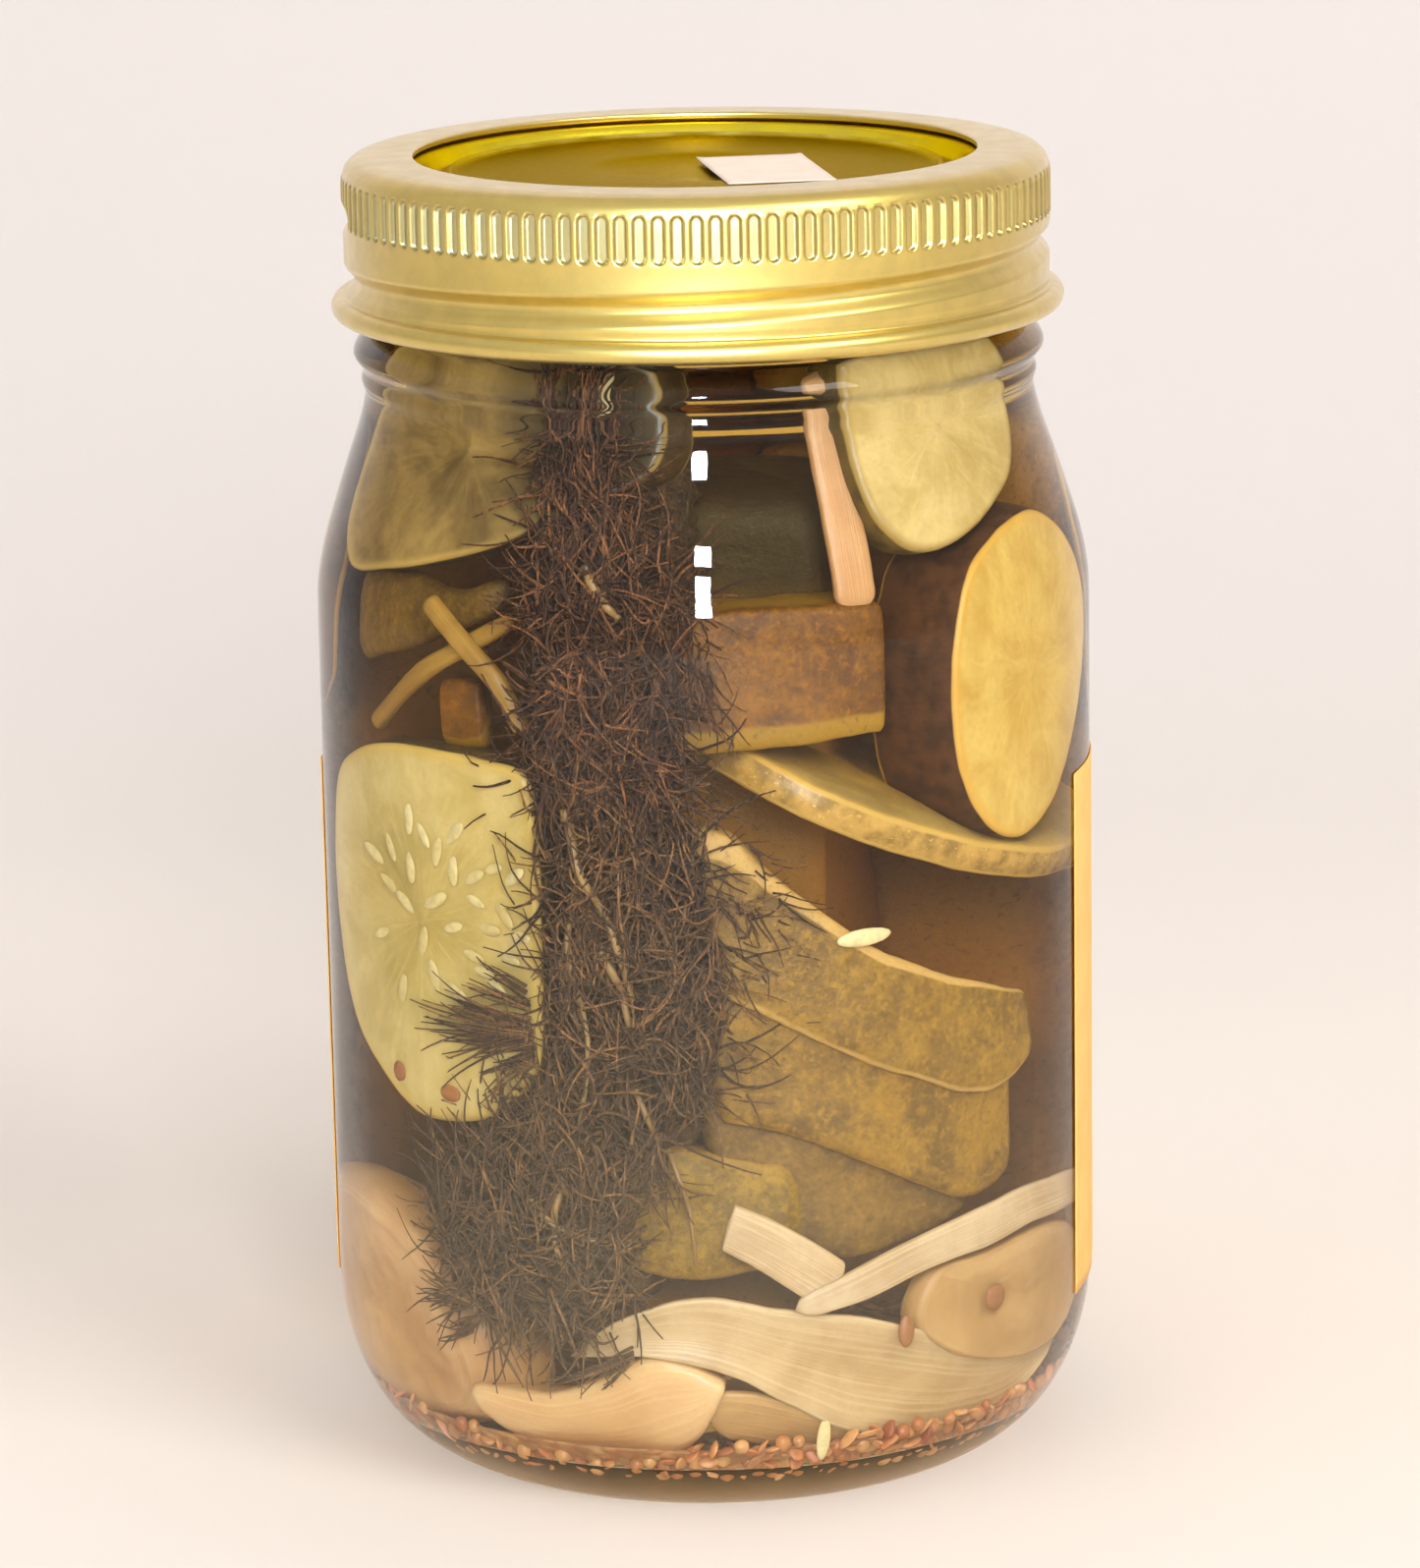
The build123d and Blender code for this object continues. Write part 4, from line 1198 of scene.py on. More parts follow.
cucumber_slice(
    "slice_round_top", "cucumber_round_top", FLESH_TOP,
    [(26.7, 114.5), (27.1, 108.5), (28.2, 103.5), (30.6, 99.9), (35.2, 97.4), (40.1, 96.9),
     (46.6, 97.6), (56, 99.7), (66, 103.0), (70, 108.5), (64, 116), (52, 119.5), (36, 119.0)],
    gap=1.2, thick=5.0, bulge=0.7, seed=5)
cucumber_slice(
    "slice_oval_right", "cucumber_oval_right", FLESH_RIGHT,
    [(65.8, 98.2), (58, 97.9), (51.5, 96.6), (46.1, 94.6), (42.4, 90.4), (41.0, 85.5),
     (41.4, 78.2), (43.4, 73.6), (46.9, 70.0), (51.4, 67.8), (56.7, 67.0), (63.4, 68.3),
     (70.7, 72.0), (78.9, 79.0), (82.3, 85.6), (79.5, 91.9), (73.7, 95.9)],
    gap=0.9, thick=10.5, bulge=1.0, seed=9, corner=0.6)
slice_left = cucumber_slice(
    "slice_left", "cucumber_slice_left", FLESH_LEFT,
    [(-66.7, 75.9), (-56.8, 77.7), (-44.4, 78.2), (-35.8, 78.0), (-29.2, 77.0),
     (-27.3, 70.0), (-27.0, 58.0), (-27.4, 50.0), (-28.6, 46.4), (-33.8, 42.6),
     (-38.7, 41.0), (-46.8, 40.0), (-53.1, 40.2), (-61.4, 42.9), (-70.1, 46.8),
     (-75.4, 51.6), (-78.5, 57.8), (-79.0, 65.0), (-76.0, 72.0)],
    bulge=1.4, seed=13)
cucumber_slice(
    "slab_top", "cucumber_slab_top", FLESH_SLAB,
    [(-72, 93.2), (-60, 94.2), (-49.0, 95.8), (-33.9, 98.8), (-20.7, 102.7), (-9.0, 106.2),
     (-7, 112), (-14, 117), (-36, 119), (-58, 118), (-74, 112), (-79, 102), (-77.5, 96.0)],
    gap=1.8, thick=4.6, bulge=1.2, seed=17)
round_back = cucumber_slice(
    "slice_round_back", "cucumber_round_back", FLESH_TOP,
    [(155, 96), (158, 104), (166, 108.5), (176, 109.5), (187, 107.5), (195, 102),
     (198, 95), (194, 88), (186, 84.5), (175, 83.5), (164, 85.5), (157, 90)],
    thick=5.5, bulge=0.8, seed=21)
oval_back = cucumber_slice(
    "slice_oval_back", "cucumber_oval_back", FLESH_LEFT,
    [(104, 84), (106, 93), (113, 99), (123, 100), (134, 97), (142, 90), (144, 82),
     (140, 74), (131, 69), (120, 68), (110, 72), (105, 78)],
    bulge=1.0, seed=23)
slice_side = cucumber_slice(
    "slice_side", "cucumber_slice_side", FLESH_RIGHT,
    [(-132, 90), (-131, 98), (-124, 104), (-112, 105.5), (-100, 103.5), (-93, 98),
     (-91, 90), (-94, 82), (-102, 77.5), (-113, 76.5), (-124, 78.5), (-130, 83.5)],
    bulge=1.0, seed=27)


def build_slice_edge():
    """A tilted slice lying across the jar, seen along its rim."""
    centre_x, centre_y, full_radius = 14.5, -13.0, 21.5
    fall_x, rise_y = 0.548, 0.035  # slopes of its plane
    outline = []
    for angle in np.linspace(0, FULL_TURN, 40, endpoint=False):
        radius = full_radius
        # shortened where it would meet the glass
        for _ in range(80):
            x = centre_x + radius * math.cos(angle)
            y = centre_y + radius * math.sin(angle)
            if math.hypot(x, y) < 35.6:
                break
            radius -= 0.25
        outline.append((x, y, 82.6 - fall_x * x + rise_y * y))
    piece(slab("slice_edge", outline, thick=3.4, bulge=0.5, seed=31, corner=0.6,
               normal=(fall_x, -rise_y, 1.0)),
          "cucumber_slice_edge", "cucumber_flesh", FLESH_EDGE)


build_slice_edge()


# ---------------------------------------------------------------- cucumber spears
def spear(name, node, material, top, bottom, **shape):
    piece(loft(name, top, bottom, **shape), node, "cucumber_skin", material)


spear("spear_middle", "cucumber_spear_middle", SKIN_MIDDLE,
      [(-4.4, 72.8), (3.9, 71.2), (8.5, 68.5), (15.5, 64.6), (21.3, 61.6), (28.1, 58.5),
       (40, 55.2), (51.1, 52.5), (60.3, 50.7)],
      [(0.5, 55.0), (5.0, 54.1), (12.2, 51.5), (24.4, 47.3), (33.3, 44.8), (46.1, 41.6),
       (52, 41.8), (61.8, 44.8)],
      gap=1.0, thick=10, square=4.5, ends=(0.05, 0.06), rows=80, wobble=0.35)
spear("spear_lower", "cucumber_spear_lower", SKIN_LOW,
      [(-2.0, 58.0), (10.2, 55.8), (24.4, 50.5), (33.3, 48.0), (46.1, 45.0), (57, 46.0)],
      [(-1.0, 42.4), (15.0, 39.8), (24.2, 36.9), (36, 33.0), (47.7, 30.6), (57.7, 33.5)],
      gap=2.3, thick=9, square=4.5, ends=(0.05, 0.07), rows=80, wobble=0.35)
spear("spear_lowest", "cucumber_spear_lower", SKIN_DULL,
      [(-4.0, 45.0), (12.2, 43.8), (24.4, 40.5), (36.3, 37.0), (50.1, 34.8)],
      [(0.0, 33.0), (10.0, 29.6), (20.4, 26.6), (34.3, 27.4), (48.8, 29.6)],
      gap=4.2, thick=7, square=4, ends=(0.06, 0.08), wobble=0.3)
spear("spear_upper", "cucumber_spear_upper", SKIN_AMBER,
      [(-8, 92.8), (5.4, 93.1), (18.2, 93.1), (31.2, 92.8)],
      [(-5, 79.0), (9.5, 79.6), (20.7, 79.9), (30.6, 80.2)],
      gap=2.6, thick=9, square=5, ends=(0.04, 0.05), wobble=0.3)
spear("end_piece", "cucumber_end_piece", SKIN_GREEN,
      [(-22, 38.5), (-8, 39.5), (6, 38.5), (18, 37.0)],
      [(-20, 27.5), (-6, 25.5), (6, 26.0), (18, 27.0)],
      gap=3.2, thick=12, square=2.3, ends=(0.2, 0.2), wobble=0.5)


def upright(name, material, centre, radius, bottom_z, top_z, turn, seed):
    """A lengthwise spear standing in the jar: round skin, two cut faces and a blunt ridge."""
    rows, sides = 70, 56
    verts, coords = [], []
    for i in range(rows):
        along = i / (rows - 1)
        size = end_taper(along, 0.06, 0.06, 0.05)
        z = bottom_z + (top_z - bottom_z) * along
        for k in range(sides):
            angle = 2 * math.pi * k / sides
            x, y = math.cos(angle), math.sin(angle)
            # round on one side, a right-angled wedge on the other
            wedge = 1.0 if y > 0 else 1.0 / max(abs(x) + abs(y), 1.0) ** 0.85
            reach = radius * wedge * size * (1 + 0.02 * math.sin(3 * angle + 5 * along))
            verts.append((x * reach, y * reach, z))
            coords.append((along, x, 1.0 if y > 0.05 else -1.0))
    verts = np.array(verts) @ np.array(Matrix.Rotation(math.radians(turn), 3, "Z")).T
    verts[:, :2] += centre
    swell = soft_noise(verts, 0.12, seed) * 0.5 + soft_noise(verts, 0.5, seed) * 0.18
    arms = verts[:, :2] - np.array(centre)
    length = np.maximum(np.linalg.norm(arms, axis=1, keepdims=True), 1)
    verts[:, :2] += arms / length * swell[:, None]
    thing = capped(name, verts, np.array(coords), rows, sides, 1)
    piece(thing, "cucumber_" + name, "cucumber_skin", material)


upright("spear_back_left", SKIN_DARK, centre=(-12.5, 13.0), radius=13.6,
        bottom_z=12, top_z=112, turn=40, seed=41)
upright("spear_back_right", SKIN_LOW, centre=(14.0, 12.5), radius=13.6,
        bottom_z=12, top_z=106, turn=-45, seed=43)
upright("spear_core", CORE, centre=(2.0, -9.5), radius=13.5,
        bottom_z=15, top_z=103, turn=37, seed=47)

spear("cucumber_scrap", None, SKIN_AMBER,
      [(-49.0, 84.6), (-44.5, 85.2), (-39.5, 85.0)],
      [(-48.5, 78.2), (-44.0, 77.8), (-39.0, 78.4)],
      gap=4.2, thick=3.0, square=3, ends=(0.1, 0.1))
spear("cucumber_scrap_green", None, SKIN_DULL,
      [(-78.0, 92.0), (-62.0, 93.0), (-48.0, 92.5), (-36.0, 95.0)],
      [(-77.0, 83.5), (-62.0, 86.0), (-49.0, 88.5), (-37.0, 90.5)],
      gap=5.5, thick=3.0, square=3, ends=(0.1, 0.15), wobble=0.2)


# ---------------------------------------------------------------- dill
def build_stalks():
    """Two crossing stalks joined into one object."""
    stalks = loft("dill_stalk_a",
                  [(-66.0, 79.2), (-52, 86.2), (-44.2, 88.8), (-32.6, 92.2)],
                  [(-64.0, 77.9), (-50.4, 84.4), (-43.0, 87.0), (-31.8, 90.4)],
                  gap=2.8, thick=2.0, square=2.4, ends=(0.03, 0.05), wobble=0.12)
    second = loft("dill_stalk_b",
                  [(-47.9, 93.2), (-39.6, 89.8), (-32.8, 86.2), (-28.2, 81.2)],
                  [(-50.2, 91.5), (-41.9, 88.1), (-35.4, 84.8), (-30.8, 80.4)],
                  gap=1.6, thick=1.8, square=2.4, ends=(0.05, 0.05), wobble=0.12)
    bpy.ops.object.select_all(action="DESELECT")
    stalks.select_set(True)
    second.select_set(True)
    bpy.context.view_layer.objects.active = stalks
    bpy.ops.object.join()
    stalks.name = "dill_stalks"
    piece(stalks, "dill_stems", "dill_stem", STEM)


def matted(name, top, bottom, gap, thick, seed):
    """The rough solid core of a dill mass."""
    thing = loft(name, top, bottom, gap, thick, square=2.2, rows=90, sides=64, wobble=0.0,
                 lead=3.0)
    mesh = thing.data
    points = mesh_points(thing)
    normals = np.array([vert.normal for vert in mesh.vertices])
    swell = (soft_noise(points, 0.22, seed) * 1.1 + soft_noise(points, 0.7, seed + 5) * 0.7
             + np.abs(soft_noise(points, 1.8, seed + 9)) * 0.5)
    points = keep_in(points + normals * swell[:, None], 0.6)
    mesh.vertices.foreach_set("co", (points * MM).ravel())
    mesh.update()
    add_attribute(mesh, "rnd", 0.5 + 0.5 * soft_noise(points, 1.1, seed))
    return thing


def wisp(start, direction, length, draw, radius, curl=0.5, count=9):
    """One hair-like thread that wanders as it goes."""
    points = [np.array(start, float)]
    heading = np.array(direction, float) / np.linalg.norm(direction)
    turn = draw.normal(0, curl, 3)
    for _ in range(count - 1):
        turn = turn * 0.8 + draw.normal(0, curl * 0.5, 3)
        heading = heading + turn * 0.35
        heading /= np.linalg.norm(heading)
        points.append(points[-1] + heading * length / (count - 1))
    return np.array(points), np.linspace(radius, radius * 0.35, count)


def inside(polygon, x, y):
    """Even-odd test."""
    within = False
    for i in range(len(polygon)):
        x1, y1 = polygon[i]
        x2, y2 = polygon[i - 1]
        if (y1 > y) != (y2 > y) and x < (x2 - x1) * (y - y1) / (y2 - y1 + 1e-9) + x1:
            within = not within
    return within


def dill_cloud(roots, region, draw, radius, gap, lean):
    """Threads rooted in a polygon of (phi, z), mostly upright, four from each root."""
    paths = []
    polygon = np.array(region, float)
    low, high = polygon.min(0), polygon.max(0)
    while roots > 0:
        phi, z = draw.uniform(low[0], high[0]), draw.uniform(low[1], high[1])
        if not inside(polygon, phi, z):
            continue
        roots -= 1
        start = wall_point(phi, z, draw.uniform(*gap))
        right, outward = wall_axes(phi)
        angle = draw.uniform(0, 2 * math.pi)
        heading = (right * math.cos(angle) + np.array([0, 0, lean]) * math.sin(angle)
                   + outward * draw.normal(0, 0.2))
        for _ in range(4):
            spread = draw.normal(0, 0.35, 3) * np.linalg.norm(heading)
            paths.append(wisp(start, heading + spread, draw.uniform(4, 11), draw,
                              draw.uniform(*radius)))
    return paths


def settle(paths, gap):
    return [(keep_in(points, gap), radii) for points, radii in paths]


def build_dill_head():
    core = matted("dill_head_core", [(-30, 118), (-30.5, 100), (-30, 90), (-30, 76)],
                  [(-6, 118), (-4, 100), (-3.0, 90), (-3, 76)], gap=4.2, thick=8.5, seed=3.0)
    piece(core, "dill_head", "dill", DILL)
    draw = np.random.default_rng(5)
    region = [(-27, 116), (-27.5, 100), (-27, 90), (-27, 76), (-5, 76), (-4, 90), (-5, 96),
              (-14, 100), (-18, 116)]
    paths = dill_cloud(560, region, draw, radius=(0.12, 0.26), gap=(0.7, 4.0), lean=2.8)
    # threads trailing down its right side: phi, top z, bottom z
    for phi, top_z, bottom_z in [
            (-4, 92, 77), (-2, 90, 76), (-6, 88, 74), (-9, 86, 73), (-1, 86, 79),
            (-3, 95, 84), (-12, 97, 86), (0, 88, 82), (-7, 93, 81), (-5, 82, 74)]:
        for _ in range(5):
            angle = math.radians(phi + draw.normal(0, 1.2))
            start = wall_point(math.degrees(angle), top_z + draw.normal(0, 1.5),
                               draw.uniform(0.7, 2.0))
            heading = (math.cos(angle) * draw.normal(0.1, 0.3), 0.1 * math.sin(angle), -1)
            paths.append(wisp(start, heading, (top_z - bottom_z) * draw.uniform(0.6, 1.1),
                              draw, radius=0.15, curl=0.25, count=12))
    leaves = tubes("dill_head_leaves", settle(paths, 0.45))
    piece(leaves, "dill_head", "dill", DILL_LIGHT)


# Sprays that stand clear of the sprig, over the left slice and the garlic:
# root (phi, z), tip (phi, z), number of threads
SPRAYS = [
    ((-28.5, 51.5), (-53.0, 50.8), 15), ((-28.5, 52.0), (-48.5, 53.4), 13),
    ((-28.5, 53.5), (-42.0, 55.2), 9), ((-28.5, 50.8), (-46.0, 47.4), 14),
    ((-28.0, 49.0), (-38.5, 45.6), 11), ((-29.0, 55.0), (-37.0, 57.0), 8),
    ((-28.0, 50.5), (-50.0, 49.4), 8), ((-41.0, 22.0), (-54.0, 20.0), 12),
    ((-41.0, 22.0), (-53.5, 23.8), 12), ((-41.0, 20.0), (-49.0, 17.4), 9),
    ((-13.0, 18.6), (-27.0, 14.1), 9), ((-13.0, 18.2), (-19.0, 14.8), 7),
    ((-41.0, 25.5), (-50.0, 27.5), 9)]


def spray_thread(root, tip, draw):
    reach = draw.uniform(0.55, 1.0)
    swing = draw.normal(0, 0.16)
    draw.normal(size=10)  # unused, but the later draws depend on the place in the sequence
    along = np.linspace(0, 1, 10)
    phi = root[0] + (tip[0] - root[0]) * along * reach
    z = (root[1] + (tip[1] - root[1]) * along * reach
         + swing * along * along * (root[0] - tip[0]) * 0.6 * reach
         + 0.5 * np.sin(2.2 * along + swing * 20) * along)
    z += draw.normal(0, 0.5)
    return wall_point(phi, z, 0.55 + draw.uniform(0, 0.35)), np.linspace(0.19, 0.06, 10)


def build_dill_sprig():
    core = matted("dill_sprig_core",
                  [(-31, 79), (-31, 66), (-31, 56), (-31.5, 48), (-43, 41), (-52, 35),
                   (-55, 28), (-47, 21), (-39, 17.5)],
                  [(-5, 76), (-3, 70), (4, 62), (4, 54), (2, 46), (-6, 40), (-12, 32),
                   (-12, 26), (-19, 20)], gap=3.2, thick=9, seed=6.0)
    piece(core, "dill_sprig", "dill", DILL)
    draw = np.random.default_rng(8)
    region = [(-26, 78), (-26.5, 56), (-26, 47), (-36, 41), (-45, 35), (-51, 29), (-46, 24),
              (-40, 20.5), (-22, 20.5), (-10, 24), (-14, 30), (-14, 36), (-5, 41), (2, 48),
              (2, 57), (4, 65), (-6, 73), (-5, 78)]
    paths = dill_cloud(760, region, draw, radius=(0.12, 0.24), gap=(0.7, 3.4), lean=2.2)
    # loose threads lying over the cut edge to the right: phi, z
    for phi, z in [(-2, 69), (1, 67), (4, 65), (6, 63), (9, 66), (11, 62), (3, 60), (5, 57),
                   (-3, 73), (7, 70)]:
        right, _ = wall_axes(phi)
        for _ in range(5):
            rise = draw.uniform(-1.2, 0.5)
            start = wall_point(phi + draw.normal(0, 1.5), z + draw.normal(0, 1.2),
                               draw.uniform(0.6, 1.2))
            heading = right * math.cos(rise) + np.array([0, 0, math.sin(rise) - 0.3])
            paths.append(wisp(start, heading, draw.uniform(2.5, 6.5), draw, radius=0.13,
                              curl=0.35))
    for root, tip, count in SPRAYS:
        paths += [spray_thread(root, tip, draw) for _ in range(count)]
    leaves = tubes("dill_sprig_leaves", settle(paths, 0.4))
    piece(leaves, "dill_sprig", "dill", DILL_HAIR)


# Pale twigs caught in the mass: points of (phi, z), radius
TWIGS = [
    ([(-22, 74), (-20, 68), (-15, 62), (-12, 55)], 0.55),
    ([(-17, 60), (-14, 56.5), (-12, 51)], 0.5),
    ([(-24, 36), (-25.5, 31), (-24, 26.5)], 0.45),
    ([(-20, 68), (-22, 60), (-19, 50), (-21, 42)], 0.35),
    ([(-12, 46), (-9, 41), (-10, 36)], 0.35),
    ([(-30, 34), (-24, 31), (-16, 30)], 0.35),
    ([(-19, 97.5), (-16.5, 95), (-13, 92.6)], 0.6),
    ([(-7, 40), (-4, 34), (-3, 28)], 0.3)]


def build_twigs():
    depth = 1.0 + 0.3 * np.sin(np.arange(16))
    paths = [(wall_point(*catmull(points, 16).T, depth),
              np.linspace(radius, radius * 0.6, 16)) for points, radius in TWIGS]
    twigs = tubes("dill_twigs", settle(paths, 0.6), sides=10)
    piece(twigs, "dill_sprig", "dill_stem", TWIG)


build_stalks()
build_dill_head()
build_dill_sprig()
build_twigs()


# ---------------------------------------------------------------- cucumber seeds
def seed_axes(along, normal, twist=0.0):
    """Rotation whose columns are along (twisted about the normal), across and normal."""
    across = np.cross(normal, along)
    cosine, sine = math.cos(twist), math.sin(twist)
    return np.stack([along * cosine + across * sine, across * cosine - along * sine,
                     normal], 1)


def wall_turned(phi, turn=0.0):
    """Axes of a seed lying flat to the wall, turned up from level by some degrees."""
    right, outward = wall_axes(phi)
    angle = math.radians(turn)
    along = right * math.cos(angle) + np.array([0, 0, 1.0]) * math.sin(angle)
    return seed_axes(along, outward)


def nearest(points, target):
    return points[np.argmin(np.linalg.norm(points - target, axis=1))]


def face_seeds(thing, count, draw):
    """Seeds scattered in a ring on a slice's face."""
    centre, normal, across, upward = (np.array(thing[key]) for key in "CNUV")
    points = mesh_points(thing)
    half = np.linalg.norm(points - centre, axis=1).max() * 0.93
    items = []
    for i in range(count):
        out = draw.uniform(0.22, 0.56)
        angle = math.radians((i * 137.5) % 360 + draw.uniform(-8, 8))
        scale = draw.uniform(0.6, 1.0)
        along = across * math.cos(angle) + upward * math.sin(angle)
        spot = centre + along * out * half
        near = nearest(points, spot + normal * 2)
        spot = spot + normal * ((near - spot) @ normal + 0.05)
        axes = seed_axes(along, normal, math.radians(12 * math.sin(i * 2.3)))
        items.append((spot, np.array((1.9, 0.7, 0.3)) * scale, axes, 0.06, i * 0.37 + 1))
    return items


def wall_seeds(thing, spots, size, draw):
    """Seeds on a slice's face, each under a point of the wall (phi, z)."""
    centre, normal = np.array(thing["C"]), np.array(thing["N"])
    points = mesh_points(thing)
    items = []
    for i, (phi, z) in enumerate(spots):
        wall = wall_point(phi, z, 1.0)
        spot = wall + normal * ((nearest(points, wall) - wall) @ normal)
        along = spot - centre
        along -= normal * (along @ normal)
        along /= max(np.linalg.norm(along), 1e-6)
        axes = seed_axes(along, normal, draw.normal(0, 0.35))
        items.append((spot, np.array(size) * draw.uniform(0.75, 1.1), axes, 0.06,
                      i * 0.37 + 1))
    return items


LEFT_SEEDS = [  # phi, z
    (-48.8, 69.2), (-46.1, 67.8), (-39.3, 65.8), (-39.4, 63.4), (-35.5, 67), (-59.2, 62.9),
    (-55, 61.5), (-47.5, 62.6), (-55.1, 52.6), (-37.7, 56.3), (-35.9, 55.1), (-39.8, 57.7),
    (-32.9, 58.3), (-43.5, 66.2), (-52.5, 65.5), (-50.5, 58.0), (-44.0, 60.2),
    (-61.5, 57.5), (-33.5, 62.5), (-42.5, 70.0), (-31.5, 66.5), (-57.5, 67.0),
    (-48.0, 54.8), (-43.0, 53.5), (-30.5, 60.5), (-36.5, 60.8), (-63.0, 65.5),
    (-52.0, 70.5)]
LOOSE_SEEDS = [  # phi, z, turn, scale, gap
    (24.0, 60.4, 3, 0.95, 0.95), (17.6, 9.0, 84, 0.72, 1.0), (-17.4, 113.1, 62, 0.62, 1.3)]


def build_seeds():
    draw = np.random.default_rng(3)
    items = wall_seeds(slice_left, LEFT_SEEDS, (1.75, 0.66, 0.26), draw)
    for thing, count in [(round_back, 20), (oval_back, 22), (slice_side, 20)]:
        items += face_seeds(thing, count, draw)
    for phi, z, turn, scale, gap in LOOSE_SEEDS:
        items.append((wall_point(phi, z, gap), np.array((3.0, 0.95, 0.45)) * scale,
                      wall_turned(phi, turn), 0.05, phi))
    piece(blobs("cucumber_seeds", items, 10, 16), None, "cucumber_flesh", PALE_SEED)


# ---------------------------------------------------------------- settled spices
def bed_shape(radii, z, angles, row):
    """Roughen the bed's top and sink it under the front garlic clove."""
    phi = np.degrees(np.arctan2(np.cos(angles), -np.sin(angles)))
    dip = (ramp01((phi + 52) / 8) * ramp01((2 - phi) / 8) * ramp01((radii - 23) / 4))
    if 2 < row < 39:
        points = np.stack([radii * np.cos(angles), radii * np.sin(angles),
                           np.full_like(angles, z)], 1)
        floor = floor_z(np.clip(radii, 0, 36.5))
        height = (z + 0.5 * soft_noise(points, 0.25, 4.0)
                  + 0.35 * np.abs(soft_noise(points, 0.9, 8.0)) - 0.2)
        height = np.maximum(height, floor + 0.45)
        height = np.maximum(height - 2.5 * dip, floor + 0.4)
        gap = 1.2
    else:
        height = z - 0.95 * dip * max(z - 5.5, 0)
        gap = 1.25
    return np.minimum(radii, inner_r(np.maximum(height, 5.2)) - gap), height


def build_bed():
    """A ring of fine spice on the floor; its section has columns (radius, z)."""
    section = join(
        catmull([(12.0, 5.9), (18.0, 6.6), (24.0, 7.0), (29.0, 7.2), (32.4, 7.5),
                 (33.3, 8.2)], 40),
        catmull([(33.3, 8.3), (33.0, 8.1), (31.6, 6.95), (29.4, 5.8), (26.3, 5.15),
                 (20, 5.4), (12.0, 5.85)], 50))[:-1]
    verts, faces, _ = revolve(section, 300, bed_shape, closed=True)
    piece(fix_normals(new_mesh("spice_bed", verts, faces)), "mustard_seeds", "mustard_seed",
          spice_bed())


class Spices:
    """Mustard seeds and pepper flakes, kept a little apart from one another."""

    def __init__(self, seed):
        self.draw = np.random.default_rng(seed)
        self.placed, self.mustard, self.flakes = [], [], []

    def add(self, point, gap_squared, tilt, mustard_share, seed_scale, flake_size):
        """flake_size is (length range, width range, thickness), as half sizes."""
        if any((point - other) @ (point - other) < gap_squared for other in self.placed):
            return
        self.placed.append(point)
        draw = self.draw
        yaw, pitch, roll = draw.uniform(0, 360), draw.uniform(-tilt, tilt), \
            draw.uniform(-tilt, tilt)
        rotation = np.array(Matrix.Rotation(math.radians(yaw), 3, "Z")
                            @ Matrix.Rotation(math.radians(pitch), 3, "Y")
                            @ Matrix.Rotation(math.radians(roll), 3, "X"))
        if draw.random() < mustard_share:
            half = np.array((0.8, 0.76, 0.72)) * draw.uniform(*seed_scale)
            self.mustard.append((point, half, rotation, 0.08, draw.uniform(0, 9)))
        else:
            length, width, thickness = flake_size
            half = (draw.uniform(*length), draw.uniform(*width), thickness)
            self.flakes.append((point, half, rotation, 0.35, draw.uniform(0, 9)))


def scatter_floor(spices):
    """Up to 230 grains over the bed, clear of the front garlic clove."""
    draw = spices.draw
    for _ in range(60000):
        if len(spices.mustard) + len(spices.flakes) >= 230:
            break
        angle = draw.uniform(0, 2 * math.pi)
        radius = 33.0 * math.sqrt(draw.uniform(0.3, 1.0))
        z = np.interp(radius, [12, 18, 24, 29, 32.4], [5.9, 6.6, 7.0, 7.3, 7.8])
        z += draw.uniform(0.0, 0.9)
        phi = math.degrees(math.atan2(math.cos(angle), -math.sin(angle)))
        if radius > inner_r(z) - 1.0 or (-46 < phi < -3 and radius > 26):
            continue
        point = np.array([radius * math.cos(angle), radius * math.sin(angle), z])
        spices.add(point, gap_squared=2.2, tilt=40, mustard_share=0.55,
                   seed_scale=(0.8, 1.1), flake_size=((0.9, 1.5), (0.6, 1.0), 0.25))


def scatter_wall(spices):
    """Grains lying against the wall, most of them at the front right."""
    draw = spices.draw
    for _ in range(620):
        ranges = [draw.uniform(-9, 80), draw.uniform(-100, -9), draw.uniform(80, 255)]
        phi = draw.choice(ranges, p=[0.55, 0.20, 0.25])
        z = 6.0 + (2.9 if phi > -6 or phi < -46 else 1.1) * draw.random() ** 1.4
        spices.add(wall_point(phi, z, draw.uniform(0.95, 1.5)), gap_squared=0.9, tilt=60,
                   mustard_share=0.5, seed_scale=(0.7, 1.1),
                   flake_size=((0.8, 1.5), (0.55, 0.9), 0.24))


MARKS = [  # brown spots on the onion and the left slice: phi, z, half sizes
    (48.6, 20.1, (1.4, 1.4, 0.5)), (30.6, 19.1, (0.9, 1.7, 0.5)),
    (-56.4, 43.9, (1.0, 1.1, 0.3)), (-44.2, 43.2, (1.4, 0.9, 0.3))]


def build_spices():
    spices = Spices(11)
    scatter_floor(spices)
    scatter_wall(spices)
    marks = [(wall_point(phi, z, 0.95), half, wall_turned(phi), 0.12, phi)
             for phi, z, half in MARKS]
    piece(blobs("spice_marks", marks, 8, 14), "pepper_flakes", "pepper_flake", BROWN_SPICE)
    piece(blobs("mustard_seed_layer", spices.mustard), "mustard_seeds", "mustard_seed",
          MUSTARD)
    piece(blobs("pepper_flake_layer", spices.flakes, 7, 10), "pepper_flakes",
          "pepper_flake", FLAKE)


build_seeds()
build_bed()
build_spices()


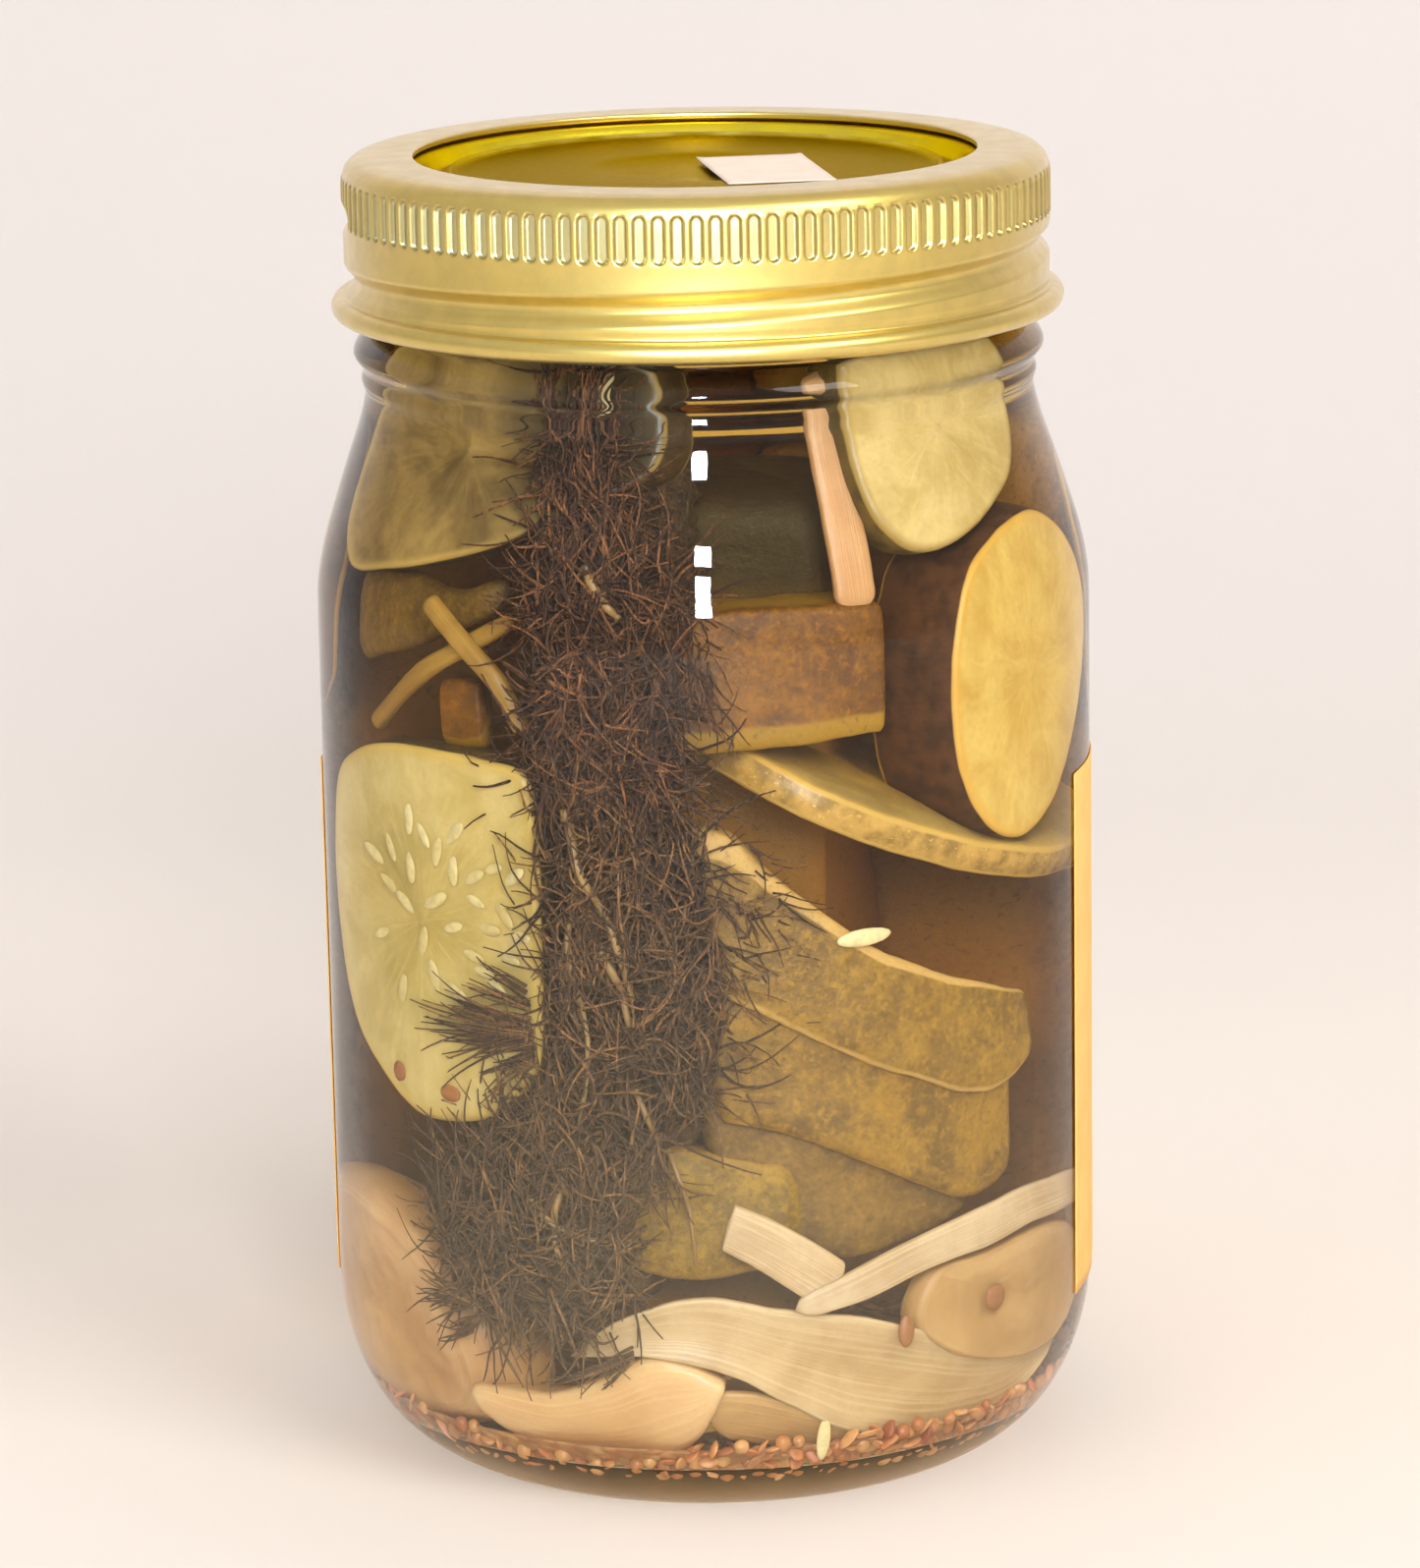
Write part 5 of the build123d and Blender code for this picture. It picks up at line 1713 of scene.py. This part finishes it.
# ---------------------------------------------------------------- floor
def floor_pale():
    mat = Shader("floor_pale")
    color = mat.mix(mat.noise(scale=0.02, detail=2.0), (0.785, 0.742, 0.706),
                    (0.770, 0.727, 0.691))
    # a little deeper toward the back
    color = mat.tint(color, (0.722, 0.688, 0.686), mat.split()[1], span=(80.0, 450.0))
    return mat.principled(color=color, rough=0.85, spec=0.1,
                          normal=mat.bump(mat.noise(scale=2.5), strength=0.15, depth=0.1))


def build_floor():
    """A sheet that sweeps up behind the jar; its profile has columns (y, z)."""
    half_width, flat_end, bend, top = 1800, 250, 450, 1800
    profile = [(-1600, 0), (flat_end, 0)]
    profile += [(flat_end + bend * math.sin(angle), bend - bend * math.cos(angle))
                for angle in np.radians(np.linspace(5, 90, 18))]
    profile.append((flat_end + bend, top))
    verts = [(x, y, z) for y, z in profile for x in (-half_width, half_width)]
    faces = [(2 * i - 2, 2 * i - 1, 2 * i + 1, 2 * i) for i in range(1, len(profile))]
    floor = new_mesh("floor_sweep", verts, faces)
    floor.data.materials.append(floor_pale())


# ---------------------------------------------------------------- world, lights and camera
def build_world():
    """Light that brightens from the horizon up."""
    world = bpy.data.worlds.new("studio")
    bpy.context.scene.world = world
    world.use_nodes = True
    nodes, links = world.node_tree.nodes, world.node_tree.links
    background = nodes["Background"]
    place = nodes.new("ShaderNodeTexCoord")
    split = nodes.new("ShaderNodeSeparateXYZ")
    ramp = nodes.new("ShaderNodeValToRGB")
    links.new(place.outputs["Generated"], split.inputs[0])
    links.new(split.outputs[2], ramp.inputs[0])
    links.new(ramp.outputs[0], background.inputs[0])
    low, high = ramp.color_ramp.elements
    low.position, low.color = 0.0, (0.80, 0.745, 0.69, 1)
    high.position, high.color = 0.9, (1.03, 0.99, 0.95, 1)
    background.inputs["Strength"].default_value = 0.75


def area(name, place, target, size, energy, color, hidden=()):
    """A rectangular light aimed at a target, hidden from some kinds of ray."""
    light = bpy.data.lights.new(name, "AREA")
    light.shape = "RECTANGLE"
    light.size, light.size_y = size
    light.energy = energy
    light.color = color
    lamp = bpy.data.objects.new(name, light)
    bpy.context.scene.collection.objects.link(lamp)
    lamp.location = place
    aim = Vector(target) - Vector(place)
    lamp.rotation_euler = aim.to_track_quat("-Z", "Y").to_euler()
    for ray in hidden:
        setattr(lamp, "visible_" + ray, False)


def build_camera():
    """In front of the jar, a little above it and looking down."""
    data = bpy.data.cameras.new("camera")
    camera = bpy.data.objects.new("camera", data)
    bpy.context.scene.collection.objects.link(camera)
    data.sensor_fit = "VERTICAL"
    data.sensor_height = 36.0
    data.lens = 133.20789474
    data.shift_x = 0.0020363409
    camera.location = (0, -0.58025, TOP_Z * MM + 0.07658)
    look_down, roll = 13.777, -1.079
    camera.rotation_euler = (Matrix.Rotation(math.radians(90 - look_down), 3, "X")
                             @ Matrix.Rotation(math.radians(roll), 3, "Z")).to_euler()
    bpy.context.scene.camera = camera


build_floor()
build_world()
area("key_right", place=(0.75, -0.75, 0.95), target=(0, 0, 0.06), size=(0.55, 0.55),
     energy=8.5, color=(1.0, 0.95, 0.88))
area("strip_front", place=(0.003, -1.15, 0.475), target=(0, 0, 0.09), size=(0.10, 0.27),
     energy=42.0, color=(0.56, 0.72, 1.0), hidden=["diffuse"])
area("soft_front", place=(0.12, -1.15, 0.55), target=(0, 0, 0.07), size=(0.35, 0.35),
     energy=10.0, color=(1.0, 0.97, 0.92), hidden=["glossy", "transmission"])
area("fill_left", place=(-1.0, -0.5, 0.5), target=(0, 0, 0.06), size=(0.6, 0.6),
     energy=1.5, color=(0.9, 0.96, 1.0), hidden=["glossy", "transmission"])
build_camera()

# ---------------------------------------------------------------- render settings
scene = bpy.context.scene
scene.view_settings.view_transform = "Standard"
scene.view_settings.look = "None"
scene.view_settings.exposure = 0.0
for setting, value in {
        "max_bounces": 14, "diffuse_bounces": 4, "glossy_bounces": 6,
        "transmission_bounces": 12, "transparent_max_bounces": 24,
        "caustics_reflective": False, "caustics_refractive": False,
        "use_denoising": True, "sample_clamp_indirect": 6.0}.items():
    setattr(scene.cycles, setting, value)
